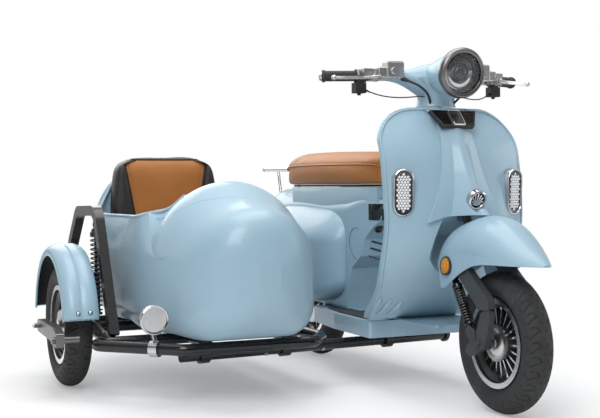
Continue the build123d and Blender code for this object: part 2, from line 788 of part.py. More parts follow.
body_outer = body_form(0.0) - nose_cut(0)
body_room = body_form(-GAP)
mat -= Pos(0, -745, 239) * Box(248, 110, 30)
mat -= Pos(0, -448, 239) * Box(228, 80, 30)
place("floor_mat", less(mat, [shield_front, parts["inner_shield"], nose_keel, body_room, down_tube]))
flat_top = Pos(0, -100, BODY_TOP - 8 + 60) * Box(400, 1100, 120)
wheel_arch = disc(246, -88, 88, REAR_AXLE)
arm_bay = Pos(0, -165, 260) * Box(176, 350, 200)
bucket_well = Pos(0, -290, 640) * Box(168, 380, 200)
body_hollow = body_form(5.0) - nose_cut(5)
rear_body = body_outer - flat_top - body_hollow
rear_body -= wheel_arch
rear_body -= arm_bay
deck = (body_hollow & (Pos(0, -100, BODY_TOP - 12) * Box(400, 1000, 8))) - bucket_well
rear_body += deck
rear_body -= Pos(0, -290, 700) * Box(156, 366, 200)
rear_body = less(rear_body, frame_members[2:4])
rear_body -= floorboard
place("rear_body", rear_body)

bucket = Pos(0, -290, 590) * Box(164, 374, 172) - Pos(0, -290, 596) * Box(156, 366, 172)
place("storage_bucket", (bucket & body_form(5.2)) - flat_top - wheel_arch - deck)

# Side cowls: (y, inner x is 0, half width, low, side_top, top, corner, shoulder).
COWL_STATIONS = [
    (-478, 112, 330, 470, 560, 30, 40),
    (-440, 160, 290, 480, 610, 40, 80),
    (-330, 186, 256, 480, 640, 50, 100),
    (-120, 198, 250, 480, 650, 50, 110),
    (90, 184, 262, 480, 648, 50, 110),
    (240, 140, 320, 490, 622, 40, 80),
    (310, 96, 400, 500, 585, 30, 50),
]
cowl_form = loft([egg_section(y, 0, h, lo, st, t, c, s) for y, h, lo, st, t, c, s in COWL_STATIONS])
cowl_cut = disc(250, -150, 150, REAR_AXLE)
cowls = cowl_form - body_room - cowl_cut
cowls -= Pos(0, 0, 100) * Box(184, 1400, 1200)
cowls -= floorboard
place("cowl_left", cowls & (Pos(300, 0, 500) * Box(600, 1400, 1000)))
place("cowl_right", cowls & (Pos(-300, 0, 500) * Box(600, 1400, 1000)))

tail_lamp = Plane(origin=(0, 336, 590), x_dir=(-1, 0, 0), z_dir=(0, 1, 0)) * SlotOverall(84, 60, rotation=90)
place("tail_lamp", extrude(tail_lamp, 26) - body_outer)
plate_bracket = side_outline([(338, 470), (346, 470), (396, 330), (388, 326)], -90, 90, 1)
plate_bracket += side_outline([(300, 420), (352, 470), (344, 474), (300, 440)], -20, 20)
plate_bracket -= body_outer
for side in (-1, 1):
    plate_bracket -= Pos(side * 70, 368, 398) * Rot(-70, 0, 0) * Cylinder(3, 40)
place("plate_bracket", plate_bracket)

# ---- rear suspension -------------------------------------------------------------------
swing_side = side_outline(
    [(-290, 336), (-246, 352), (-150, 300), (-20, 240), (26, 228), (26, 200), (-20, 192), (-160, 250), (-290, 300)],
    62, 78, 8,
)
swingarm = swing_side + mirror_x(swing_side)
swingarm += rod((-78, -268, 268 + 56), (78, -268, 324), 13)
swingarm += rod((-92, 0, TYRE_RADIUS), (92, 0, TYRE_RADIUS), AXLE_RADIUS)
place("rear_swingarm", less(swingarm, frame_members[2:]))
rear_shock = damper((67, 96, 424), (67, 14, 240), 15)
rear_shock = less(rear_shock, [swingarm, frame_members[2]])
place("rear_shocks", rear_shock + mirror_x(rear_shock))

# ---- seat, which lifts about its nose ----------------------------------------------------
SEAT_STATIONS = [
    (-706, 62, SEAT_BOTTOM, 760, 792, 10, 24),
    (-686, 84, SEAT_BOTTOM, 768, 806, 12, 30),
    (-560, 104, SEAT_BOTTOM, 770, 812, 12, 36),
    (-270, 122, SEAT_BOTTOM, 772, SEAT_TOP, 12, 40),
    (-20, 128, SEAT_BOTTOM, 772, SEAT_TOP, 12, 40),
    (46, 116, SEAT_BOTTOM, 766, 812, 12, 36),
    (66, 96, SEAT_BOTTOM, 756, 794, 10, 30),
]
seat = loft([egg_section(y, 0, h, lo, st, t, c, s) for y, h, lo, st, t, c, s in SEAT_STATIONS])
place("seat_cushion", seat)
seat_base = plan_outline(
    [(-50, -664), (50, -664), (92, -560), (110, -240), (112, -10), (90, 40), (-90, 40), (-112, -10), (-110, -240), (-92, -560)],
    SEAT_BOTTOM - 8, SEAT_BOTTOM, 14,
)
place("seat_base", seat_base)

# ---- rear rack ----------------------------------------------------------------------------
rack_ring = bent_rod(
    [(-95, 84, 762), (-98, 330, 764), (-62, 446, 765), (62, 446, 765), (98, 330, 764), (95, 84, 762)], 9, 36,
)
rack_low = bent_rod(
    [(-80, 126, 762), (-80, 150, 700), (-80, 300, 700), (80, 300, 700), (80, 150, 700), (80, 126, 762)], 7.5, 26,
)
rack_bars = [rod((x, 168, 763), (x, 436, 765), 5) for x in (-45, 0, 45)]
rack_cross = rod((-95, 168, 763), (95, 168, 763), 6)
rack_posts = [rod((x, 290, 660), (x, 320, 764), 6) for x in (-45, 45)]
rack_plate = Pos(0, 300, 766) * Box(112, 70, 5)
for x in (-28, 28):
    for y in (280, 320):
        rack_plate -= Pos(x, y, 766) * Cylinder(3.3, 30)
rear_rack = rack_ring + rack_cross + rack_bars + rack_posts + rack_plate + rod((-95, 150, 762), (-95, 130, 762), 6)
rear_rack -= body_outer
place("rear_rack", rear_rack)

# ---- sidecar -------------------------------------------------------------------------------
HULL_STATIONS = [
    (-1061, 36, 375, 436, 470, 20, 22),
    (-1045, 90, 310, 462, 545, 62, 60),
    (-1000, 158, 252, 462, 614, 86, 96),
    (-920, 206, 217, 456, 640, 94, 126),
    (-800, 238, 206, 459, 684, 96, 146),
    (-617, 264, 204, 464, 684, 96, 150),
    (-350, 280, 204, 474, 704, 94, 150),
    (-100, 290, 206, 500, 755, 90, 160),
    (60, 276, 226, 540, 798, 90, 165),
    (180, 240, 264, 560, 790, 85, 150),
    (280, 174, 322, 580, 742, 75, 110),
    (335, 92, 402, 580, 665, 50, 58),
    (352, 34, 472, 550, 580, 18, 20),
]
HULL_SKIN = 8.0


def hull_form(skin):
    """The sidecar body's outer form, or with a skin its hollow."""
    faces = []
    last = len(HULL_STATIONS) - 1
    for number, (y, half, low, side_top, top, corner, shoulder) in enumerate(HULL_STATIONS):
        shift = skin if number <= 1 else -skin if number >= last - 1 else 0
        faces.append(
            egg_section(
                y + shift, SIDECAR_X, half - skin, low + skin, side_top, top - skin,
                corner - skin, shoulder - skin,
            )
        )
    return loft(faces)


hull_outer = hull_form(0.0)
hull_inner = hull_form(HULL_SKIN)
cockpit = side_outline(
    [
        (-705, 740), (-672, 668), (-610, 622), (-480, 592), (-120, 590), (62, 600), (88, 700), (108, 900), (-705, 900),
    ],
    SIDECAR_X - 400, SIDECAR_X + 400, 24,
)
sidecar_body = hull_outer - hull_inner - cockpit
seat_box = plan_outline([(-200, -380), (200, -380), (200, -70), (-200, -70)], 208, 349.6, 20)
sidecar_body += seat_box.moved(Location((SIDECAR_X, 0, 0)))
BACK_LEAN = 6.0
BACK_FRONT = -20.0
bulkhead = Pos(SIDECAR_X, BACK_FRONT + 80, 560) * Box(640, 6, 440)
bulkhead = bulkhead.rotate(Axis((0, 0, 440), (1, 0, 0)), -BACK_LEAN)
sidecar_body += bulkhead & hull_inner
sidecar_body -= Pos(SIDECAR_X, -300, 150) * Box(600, 1300, 96)
place("sidecar_body", sidecar_body)

cushion = plan_outline([(-226, -400), (226, -400), (218, -26), (-218, -26)], 350, 440, 40)
cushion = cushion.moved(Location((SIDECAR_X, 0, 0)))
place("sidecar_cushion", cushion)
back_face = make_face(
    Polyline((-205, 450), (205, 450), (214, 620), (186, 802), (-186, 802), (-214, 620), close=True)
)
back_face = fillet(back_face.vertices(), 52)
backrest = extrude(Plane(origin=(SIDECAR_X, BACK_FRONT + 76, 0), x_dir=(1, 0, 0), z_dir=(0, -1, 0)) * back_face, 76)
backrest = backrest.rotate(Axis((0, 0, 440), (1, 0, 0)), -BACK_LEAN)
place("sidecar_backrest", backrest)

# Sidecar frame: one closed loop of tube under the body, with crossing tubes.
TUBE = 19.0
FRAME_Z = 180.0
CLAMP_X = (-745.0, -445.0)
loop_points = [
    (-600, -560), (-1128, -560), (-850, -838), (-400, -838),
    (-330, -740), (-330, 60), (-1000, 60), (-1000, -560),
]
frame_tubes = bent_rod([(x, y, FRAME_Z) for x, y in loop_points], TUBE, 42)
frame_tubes += rod((-610, -560, FRAME_Z), (-330, -560, FRAME_Z), TUBE)
frame_tubes += rod((-1000, -150, FRAME_Z), (-330, -150, FRAME_Z), TUBE)
for x in CLAMP_X:
    frame_tubes += rod((x, 60, FRAME_Z), (x, -838, FRAME_Z), TUBE * 0.8)
sidecar_frame = frame_tubes

HOOP_X = -1000.0
hoop_line = FilletPolyline(
    (-548, 199), (-336, 612), (-60, 606), (78, 470), (78, 199), radius=70
)
hoop_face = trace(Plane.XY * hoop_line, line_width=36)
hoop = extrude(Plane.YZ.offset(HOOP_X - 16) * hoop_face, 32)
hoop -= frame_tubes
hoop -= Pos(HOOP_X, -200, 100) * Box(200, 1200, 198)
place("sidecar_hoop", hoop)

# Trailing arm outboard of the wheel and its stub axle.
arm_x = -1184.0
outer_arm = side_outline(
    [(-575, 172), (-575, 218), (-520, 236), (-262, 236), (-250, 226), (-250, 202), (-262, 194), (-500, 186)],
    arm_x - 14, arm_x + 14, 6,
)
sidecar_arm = outer_arm + rod((arm_x - 24, -552, 196), (-1118, -552, 196), 12)
sidecar_arm += rod((-1216, -290, TYRE_RADIUS), (-1026, -290, TYRE_RADIUS), AXLE_RADIUS)
sidecar_arm += side_outline(
    [(-536, 214), (-440, 232), (-280, 240), (-262, 216), (-280, 196), (-440, 202), (-536, 200)],
    -1037, -1025, 4,
)
sidecar_arm += rod((-1037, -310, 226), (-992, -310, 226), 6)
place("sidecar_arm", sidecar_arm - frame_tubes)
shock = damper((-1000, -300, 562), (-1000, -310, 228), 20)
shock += rod((-1000, -300, 560), (-1000, -300, 600), 8)
place("sidecar_shock", shock - hoop - parts["sidecar_arm"])

guard_profile = make_face(
    [
        Line((242, -58), (262, -58)),
        ThreePointArc((262, -58), (273, -48), (277, 0)),
        ThreePointArc((277, 0), (273, 48), (262, 58)),
        Line((262, 58), (242, 58)),
        Line((242, 58), (242, 54)),
        Line((242, 54), (260, 54)),
        ThreePointArc((260, 54), (269.5, 46), (273, 0)),
        ThreePointArc((273, 0), (269.5, -46), (260, -54)),
        Line((260, -54), (242, -54)),
        Line((242, -54), (242, -58)),
    ]
)
sidecar_guard = revolve(Plane.XZ * guard_profile, Axis.Z, 162)
sidecar_guard = Pos(-1107, SIDECAR_WHEEL_Y, TYRE_RADIUS) * Rot(8.5, 0, 0) * Rot(0, 90, 0) * Rot(0, 0, 90) * sidecar_guard
place("sidecar_mudguard", sidecar_guard)

lamp_y = -850.0
side_lamp = revolve(
    Plane.XZ
    * make_face(
        [
            Line((0, 0), (40, 0)),
            Line((40, 0), (45, 4)),
            Line((45, 4), (45, 12)),
            ThreePointArc((45, 12), (32, 44), (0, 60)),
            Line((0, 60), (0, 0)),
        ]
    ),
    Axis.Z,
)
side_lamp = Pos(-957, lamp_y - 30, 286) * Rot(-90, 0, 0) * side_lamp
lamp_foot = Vector(-922, -768, FRAME_Z)
side_lamp += rod((-957, lamp_y, 250), lamp_foot + Vector(0, 0, 20), 8)
side_lamp += Plane(lamp_foot, z_dir=(283, -278, 0)) * Cylinder(26, 30)
place("sidecar_lamp", side_lamp - frame_tubes)
place("sidecar_lamp_lens", Pos(-957, lamp_y - 33, 286) * Rot(90, 0, 0) * Cylinder(39, 6))

# ---- joining tube between scooter and sidecar ----------------------------------------------
LINK_Z = 141.0
link_start = Vector(-826, -722, LINK_Z)
link_end = Vector(238, -622, LINK_Z)
tie_tube = rod(link_start, link_end, 18.5)
tie_tube += Plane(link_end - Vector(14, 0, 0), z_dir=link_end - link_start) * Cylinder(27, 12)
place("tie_tube", tie_tube)


def tie_at(x):
    """The joining tube's axis point at x."""
    share = (x - link_start.X) / (link_end.X - link_start.X)
    return link_start + (link_end - link_start) * share


for x in CLAMP_X:
    spot = tie_at(x)
    ring = Plane(spot, z_dir=link_end - link_start) * Cylinder(27, 34)
    block = Pos(spot.X, spot.Y, spot.Z + 24) * Box(34, 44, 36)
    sidecar_frame += ring + block
sidecar_frame -= tie_tube
place("sidecar_frame", sidecar_frame)
hanger_spot = tie_at(-30)
hanger = Plane(hanger_spot, z_dir=link_end - link_start) * Cylinder(28, 30)
hanger += Pos(hanger_spot.X, hanger_spot.Y, 170) * Box(26, 60, 44)
place("scooter_frame", (scooter_frame + (hanger - tie_tube)) - parts["floorboard"])

# ---- output -----------------------------------------------------------------------------------
os.makedirs("parts", exist_ok=True)
for name, shape in parts.items():
    solids = shape.solids()
    if not solids:
        print("no solid in", name)
        continue
    biggest = max(solid.volume for solid in solids)
    kept = [solid for solid in solids if solid.volume > 0.01 * biggest]
    piece = Compound(kept) if len(kept) > 1 else kept[0]
    export_step(piece.moved(Location(ORIGIN)), "parts/" + name + ".step")
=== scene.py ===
from math import atan2, copysign, cos, pi, radians, sin, sqrt, tan

import bmesh
import bpy
from mathutils import Matrix, Vector
from mathutils.bvhtree import BVHTree


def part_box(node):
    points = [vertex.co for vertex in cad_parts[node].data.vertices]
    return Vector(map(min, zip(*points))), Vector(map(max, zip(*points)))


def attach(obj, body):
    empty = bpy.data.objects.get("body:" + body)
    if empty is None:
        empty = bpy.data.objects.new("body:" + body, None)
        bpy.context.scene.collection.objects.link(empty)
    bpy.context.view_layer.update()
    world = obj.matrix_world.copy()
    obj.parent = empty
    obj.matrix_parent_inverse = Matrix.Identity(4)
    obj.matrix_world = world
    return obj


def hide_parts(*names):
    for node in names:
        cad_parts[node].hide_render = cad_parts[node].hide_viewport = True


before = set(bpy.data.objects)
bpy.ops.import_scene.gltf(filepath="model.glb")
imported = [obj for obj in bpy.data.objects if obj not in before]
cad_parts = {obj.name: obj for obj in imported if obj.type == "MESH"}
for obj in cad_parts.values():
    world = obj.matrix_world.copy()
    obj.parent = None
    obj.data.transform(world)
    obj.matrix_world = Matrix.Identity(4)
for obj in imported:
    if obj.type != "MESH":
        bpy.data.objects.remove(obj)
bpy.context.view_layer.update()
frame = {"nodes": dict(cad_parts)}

bl_info = {
    "name": "Scooter with sidecar",
    "version": (1, 0, 0),
    "blender": (4, 5, 0),
    "location": "View3D > Sidebar > Sidecar",
    "description": "Dresses the packed scooter and sidecar with finished pieces",
    "category": "Add Mesh",
}

NODES = frame["nodes"]

# ---- driving sizes, in millimetres of the scooter's own frame ---------------------------
# x is 0 on the scooter's centre plane, y is 0 on the rear axle, z is 0 on the ground.
SHIFT = Vector((414.0, 555.0, 0.0))
FRONT_AXLE = Vector((0.0, -1347.0, 216.0))
REAR_AXLE = Vector((0.0, 0.0, 216.0))
SIDECAR_AXLE = Vector((-1097.0, -290.0, 216.0))
SIDECAR_X = -645.0
WHEELS = (
    ("front", FRONT_AXLE, "front_wheel"),
    ("rear", REAR_AXLE, "rear_wheel"),
    ("sidecar", SIDECAR_AXLE, "sidecar_wheel"),
)


def place(point):
    """A point of the scooter's frame in millimetres, in the row frame in metres."""
    return (Vector(point) + SHIFT) / 1000.0


def sided(side, x, y, z):
    """A point given for the left, on the side whose sign is side."""
    return Vector((side * x, y, z))


def put(name, data):
    """A new object in the scene."""
    made = bpy.data.objects.new(name, data)
    bpy.context.scene.collection.objects.link(made)
    return made


# ---- node trees --------------------------------------------------------------------------
class Wire:
    """A socket that adds and multiplies like a number."""

    def __init__(self, graph, socket):
        self.graph = graph
        self.socket = socket

    def maths(self, operation, *others, clamp=False):
        return self.graph.node(
            "ShaderNodeMath", {"operation": operation, "use_clamp": clamp},
            dict(enumerate((self, *others))),
        )

    def __add__(self, other):
        return self.maths("ADD", other)

    __radd__ = __add__

    def __mul__(self, other):
        return self.maths("MULTIPLY", other)

    __rmul__ = __mul__

    def __sub__(self, other):
        return self.maths("SUBTRACT", other)

    def __rsub__(self, other):
        return (self * -1.0).maths("ADD", other)

    def __truediv__(self, other):
        return self.maths("DIVIDE", other)

    def __abs__(self):
        return self.maths("ABSOLUTE")

    def clamped(self):
        return self.maths("ADD", 0.0, clamp=True)


class Graph:
    """Adds nodes to one node tree."""

    def __init__(self, tree):
        self.tree = tree

    def node(self, kind, settings=None, values=None, out=0):
        made = self.tree.nodes.new(kind)
        for key, value in (settings or {}).items():
            setattr(made, key, value)
        for key, value in (values or {}).items():
            socket = made.inputs[key]
            if isinstance(value, Wire):
                self.tree.links.new(value.socket, socket)
            else:
                socket.default_value = value
        return Wire(self, made.outputs[out])

    def other(self, wire, out):
        """Another output of the node that made the wire."""
        return Wire(self, wire.socket.node.outputs[out])

    def axes(self, vector):
        """The x, y and z of a vector."""
        split = self.node("ShaderNodeSeparateXYZ", None, {0: vector})
        return split, self.other(split, 1), self.other(split, 2)

    def step(self, value, low, high):
        """0 below low, 1 above high, smooth between."""
        return self.node(
            "ShaderNodeMapRange", {"interpolation_type": "SMOOTHSTEP"},
            {"Value": value, "From Min": low, "From Max": high},
        )


class Finish(Graph):
    """A material with one Principled shader, its maths read from Object coordinates."""

    made = {}

    def __init__(self, name, colour, rough=0.4, metal=0.0, coat=0.0, **fixed):
        self.material = bpy.data.materials.new(name)
        self.material.use_nodes = True
        super().__init__(self.material.node_tree)
        self.shader = self.tree.nodes["Principled BSDF"]
        values = {
            "Base Color": (*colour, 1.0), "Roughness": rough, "Metallic": metal,
            "Coat Weight": coat, **fixed,
        }
        for key, value in values.items():
            self.shader.inputs[key].default_value = value
        self.point = self.node("ShaderNodeTexCoord", out="Object")
        Finish.made[name] = self.material

    def noise(self, scale, detail=3.0, where=None, rough=0.5):
        return self.node(
            "ShaderNodeTexNoise", None,
            {"Vector": where or self.point, "Scale": scale, "Detail": detail, "Roughness": rough},
        )

    def cells(self, scale, feature="F1"):
        return self.node(
            "ShaderNodeTexVoronoi", {"feature": feature}, {"Vector": self.point, "Scale": scale},
            out="Distance",
        )

    def rings(self, centre, scale):
        """Noise that runs in rings about an axis along x."""
        _, y, z = self.axes(self.point)
        middle = place(centre)
        off_y = y - middle.y
        off_z = z - middle.z
        radius = (off_y * off_y + off_z * off_z).maths("SQRT")
        return self.noise(1.0, 2.0, self.node("ShaderNodeCombineXYZ", None, {0: radius * scale}))

    def mix(self, share, one, two):
        values = {0: share}
        for socket, colour in ((6, one), (7, two)):
            values[socket] = colour if isinstance(colour, Wire) else (*colour[:3], 1.0)
        return self.node("ShaderNodeMix", {"data_type": "RGBA"}, values, out=2)

    def tint(self, share, colour, low, high):
        """Base colour drifting between low and high times a colour."""
        ends = ([min(1.0, c * k) for c in colour] for k in (low, high))
        self.set("Base Color", self.mix(share, *ends))

    def set(self, key, wire):
        self.tree.links.new(wire.socket, self.shader.inputs[key])

    def bump(self, height, depth):
        """Raises the surface by depth metres where height is 1."""
        made = self.node(
            "ShaderNodeBump", None, {"Height": height, "Distance": depth, "Strength": 1.0}
        )
        self.set("Normal", made)


def painted(name, colour, rough, coat):
    """Sprayed paint: faint colour drift, orange peel and dust in the clear coat."""
    f = Finish(name, colour, rough, 0.0, coat, **{"Coat Roughness": 0.06})
    f.tint(f.noise(2.2, 2.0), colour, 0.93, 1.05)
    f.set("Roughness", f.noise(40.0, 4.0) * 0.12 + (rough - 0.06))
    f.bump(f.noise(260.0, 2.0), 0.00004)


def metal_finish(name, colour, rough, grain=(900.0, 30.0, 30.0), depth=0.00002):
    """Bare metal with fine brush marks and cloudy roughness."""
    f = Finish(name, colour, rough, 1.0)
    brushed = f.node(
        "ShaderNodeMapping", {"vector_type": "POINT"}, {"Vector": f.point, "Scale": grain}
    )
    marks = f.noise(1.0, 4.0, brushed)
    cloud = f.noise(24.0)
    f.tint(cloud, colour, 0.86, 1.06)
    f.set("Roughness", marks * 0.16 + cloud * 0.1 + (rough - 0.12))
    f.bump(marks, depth)


def turned_metal(name, colour, rough, centre):
    """Bare metal turned on a lathe about an axis along x."""
    f = Finish(name, colour, rough, 1.0)
    rings = f.rings(centre, 900.0)
    f.tint(rings, colour, 0.84, 1.05)
    f.set("Roughness", rings * 0.2 + f.noise(30.0, 2.0) * 0.08 + (rough - 0.12))
    f.bump(rings, 0.00004)


def cast_finish(name, colour, rough=0.42, metal=0.35):
    """Satin painted casting with a fine pebble and a little dust."""
    f = Finish(name, colour, rough, metal)
    cloud = f.noise(14.0, 4.0)
    f.tint(cloud, colour, 0.75, 1.25)
    f.set("Roughness", cloud * 0.2 + (rough - 0.1))
    f.bump(f.noise(420.0), 0.00012)


def rubber_finish(name, colour, rough=0.72):
    """Matt rubber with a fine skin and dusty patches."""
    f = Finish(name, colour, rough)
    dust = f.noise(9.0, 5.0, rough=0.6)
    dusty = [c * 1.7 + 0.006 for c in colour]
    f.set("Base Color", f.mix(f.step(dust, 0.45, 0.75), colour, dusty))
    f.set("Roughness", dust * 0.2 + (rough - 0.1))
    f.bump(f.noise(520.0), 0.0001)


def hide_finish(name, colour, rough=0.46):
    """Leatherette: fine creased grain with painted shade in the creases, and worn patches."""
    f = Finish(name, colour, rough, 0.0, 0.12, **{"Coat Roughness": 0.35})
    crease = f.step(f.cells(520.0, "DISTANCE_TO_EDGE"), 0.0, 0.16)
    broad = f.noise(7.0, 4.0)
    worn = f.mix(broad, [c * 0.78 for c in colour], [min(1.0, c * 1.22) for c in colour])
    # Painted shade in the creases: there the colour falls towards 0.45 of the hide's colour.
    f.set("Base Color", f.mix(crease * 0.35 + 0.65, [c * 0.45 for c in colour], worn))
    f.set("Roughness", broad * 0.14 + (1.0 - crease) * 0.1 + (rough - 0.1))
    f.bump(crease * 0.8 + f.noise(900.0, 2.0) * 0.3, 0.00022)


def moulded_finish(name, colour):
    """Moulded plastic with a fine spark-eroded texture."""
    f = Finish(name, colour, 0.5)
    f.tint(f.noise(11.0), colour, 0.8, 1.3)
    f.set("Roughness", f.noise(30.0) * 0.16 + 0.42)
    f.bump(f.cells(900.0), 0.00006)


def lens_finish(name, colour, through):
    """A coloured, moulded lens that light passes through."""
    f = Finish(name, colour, 0.12, 0.0, 0.0, **{"Transmission Weight": through, "IOR": 1.46})
    f.set("Roughness", f.noise(60.0, 2.0) * 0.04 + 0.12)
    f.bump(f.noise(90.0, 1.0), 0.00002)


def wheel_finish(name, centre):
    """A wheel painted black, with its outward faces machined back to bare metal."""
    f = Finish(name, (0.02, 0.02, 0.022), 0.3, 0.0, 0.3)
    facing = f.axes(f.node("ShaderNodeNewGeometry", out="Normal"))[0]
    bare = f.step(abs(facing), 0.72, 0.86)
    rings = f.rings(centre, 700.0)
    silver = f.mix(rings, (0.62, 0.62, 0.63), (0.82, 0.82, 0.83))
    f.set("Base Color", f.mix(bare, (0.022, 0.022, 0.024), silver))
    f.set("Metallic", bare)
    f.set("Roughness", bare * 0.24 + (1.0 - bare) * 0.3 + rings * 0.06)
    f.bump(rings * bare, 0.00003)


# ---- sizes and colours a user may change -------------------------------------------------
def colour_property(name, description, default):
    return bpy.props.FloatVectorProperty(
        name=name, description=description, default=default, size=3, min=0.0, max=1.0,
        subtype="COLOR"
    )


def length_property(name, description, default):
    return bpy.props.FloatProperty(
        name=name, description=description, default=default, min=0.0, unit="LENGTH"
    )


class SidecarColours(bpy.types.PropertyGroup):
    """Colours of the main finishes."""

    body: colour_property("Body", "Paint of the body panels", (0.30, 0.45, 0.55))
    hide: colour_property("Hide", "Tan leatherette of the seats", (0.42, 0.15, 0.022))
    frame: colour_property("Frame", "Gloss paint of the tubes", (0.005, 0.005, 0.0055))
    backdrop: colour_property("Backdrop", "Floor and surroundings", (0.93, 0.93, 0.935))


class SidecarSizes(bpy.types.PropertyGroup):
    """Sizes of the repeated details."""

    tread_depth: length_property("Tread depth", "Depth of the cut tread grooves", 0.003)
    bead: length_property("Bead", "Radius of the rolled edge of the panels", 0.004)


# ---- mesh builder ------------------------------------------------------------------------
BOX_FACES = [[0, 1, 3, 2], [4, 6, 7, 5], [0, 4, 5, 1], [2, 3, 7, 6], [0, 2, 6, 4], [1, 5, 7, 3]]


def new_mesh(name, points, faces, finishes=()):
    """A mesh from points in metres, with its finishes."""
    mesh = bpy.data.meshes.new(name)
    mesh.from_pydata(points, [], faces)
    for finish in finishes:
        mesh.materials.append(Finish.made[finish])
    return mesh


def circle(centre, side, other, radius, sides, flat=1.0):
    """Points around a centre, in the plane of two directions."""
    turns = [2 * pi * k / sides for k in range(sides)]
    return [
        centre + side * (radius * cos(turn)) + other * (radius * flat * sin(turn)) for turn in turns
    ]


class Form:
    """Collects one piece's surfaces, in millimetres of the scooter's frame."""

    def __init__(self):
        self.points = []
        self.faces = []
        self.tags = []

    def add(self, points, faces, tag=0):
        start = len(self.points)
        self.points.extend(Vector(p) for p in points)
        self.faces.extend([start + i for i in face] for face in faces)
        self.tags.extend([tag] * len(faces))
        return self

    def rows(self, rows, closed=False, tag=0, caps=False):
        """A skin over rows of points, each row closed or open."""
        count = len(rows[0])
        points = [p for row in rows for p in row]
        faces = []
        for r in range(len(rows) - 1):
            for i in range(count if closed else count - 1):
                j = (i + 1) % count
                faces.append(
                    [r * count + i, r * count + j, (r + 1) * count + j, (r + 1) * count + i]
                )
        if caps:
            faces.append(list(range(count))[::-1])
            faces.append([(len(rows) - 1) * count + i for i in range(count)])
        return self.add(points, faces, tag)

    def lathe(self, profile, centre, axis=(1, 0, 0), sides=64, tag=0, closed=False):
        """Turns a profile of (radius, distance along the axis) about an axis."""
        unit = Vector(axis).normalized()
        side = unit.orthogonal().normalized()
        other = unit.cross(side)
        rows = [
            circle(Vector(centre) + unit * along, side, other, max(radius, 0.01), sides)
            for radius, along in profile
        ]
        return self.rows(rows + rows[:closed], closed=True, tag=tag)

    def tube(self, path, radius, sides=16, tag=0, closed=False, flat=1.0):
        """A round tube along points; radius is a number or one for each point."""
        path = [Vector(p) for p in path]
        radii = radius if isinstance(radius, (list, tuple)) else [radius] * len(path)
        last = len(path) - 1
        rows = []
        normal = None
        for i, p in enumerate(path):
            before = path[i - 1] if i or closed else p
            after = path[(i + 1) % len(path)] if i < last or closed else p
            ahead = (after - before).normalized()
            normal = (
                ahead.orthogonal() if normal is None else normal - ahead * normal.dot(ahead)
            ).normalized()
            rows.append(circle(p, normal, ahead.cross(normal), radii[i], sides, flat))
        return self.rows(rows + rows[:closed], closed=True, tag=tag, caps=not closed)

    def slab(self, outline, low, high, axis, tag=0):
        """A flat plate: an outline in the plane across an axis, from low to high."""
        if axis == "y":
            rows = [[(a, h, b) for a, b in outline] for h in (low, high)]
        else:
            rows = [[(a, b, h) for a, b in outline] for h in (low, high)]
        return self.rows(rows, closed=True, tag=tag, caps=True)

    def block(self, centre, size, tag=0):
        """A box with its middle at centre."""
        corners = [
            Vector(centre) + Vector((x * size[0], y * size[1], z * size[2])) / 2
            for x in (-1, 1) for y in (-1, 1) for z in (-1, 1)
        ]
        return self.add(corners, BOX_FACES, tag)

    def sheet(self, front, back):
        """A sheet between two grids of points, closed around its edge."""
        self.rows(front)
        self.rows([row[::-1] for row in back])
        for end in (0, -1):
            self.rows([front[end], back[end]])
            self.rows([[row[end] for row in front], [row[end] for row in back]])

    def mirrored(self):
        """The same surfaces and their mirror image across the centre plane."""
        start = len(self.points)
        self.points.extend([sided(-1, *p) for p in self.points])
        self.faces.extend([[start + i for i in reversed(face)] for face in self.faces])
        self.tags *= 2

    def piece(self, name, body, finishes, slot, replaces=(), bevel=0.0, angle=38.0):
        """Makes the object, finishes its surface and lets it ride on a body."""
        mesh = new_mesh(name, [place(p) for p in self.points], self.faces, finishes)
        mesh.polygons.foreach_set("material_index", self.tags)
        made = as_piece(name, mesh, body, replaces, angle)
        if bevel:
            rounding = made.modifiers.new("rounding", "BEVEL")
            rounding.width = bevel / 1000.0
            rounding.segments = 2
            rounding.limit_method = "ANGLE"
            rounding.angle_limit = radians(angle)


def finish_mesh(mesh, angle):
    """Merges doubles, turns faces outwards and marks edges sharper than an angle."""
    b = bmesh.new()
    b.from_mesh(mesh)
    bmesh.ops.remove_doubles(b, verts=b.verts, dist=0.00004)
    bmesh.ops.dissolve_degenerate(b, dist=0.00001, edges=b.edges)
    bmesh.ops.recalc_face_normals(b, faces=b.faces)
    for face in b.faces:
        face.smooth = True
    for edge in b.edges:
        edge.smooth = len(edge.link_faces) != 2 or edge.calc_face_angle(0.0) < radians(angle)
    b.to_mesh(mesh)
    b.free()


def curve_points(knots, count=12, closed=False):
    """Points on a smooth line through knots."""
    knots = [Vector(k) for k in knots]
    total = len(knots)
    made = []
    spans = total if closed else total - 1
    for i in range(spans):
        if closed:
            a, b, c, d = (knots[(i + k - 1) % total] for k in range(4))
        else:
            a, b, c, d = (knots[min(max(i + k - 1, 0), total - 1)] for k in range(4))
        for step in range(count):
            t = step / count
            made.append(
                (
                    2 * b + (c - a) * t + (2 * a - 5 * b + 4 * c - d) * t * t
                    + (3 * b - a - 3 * c + d) * t**3
                ) / 2
            )
    if not closed:
        made.append(knots[-1])
    return made


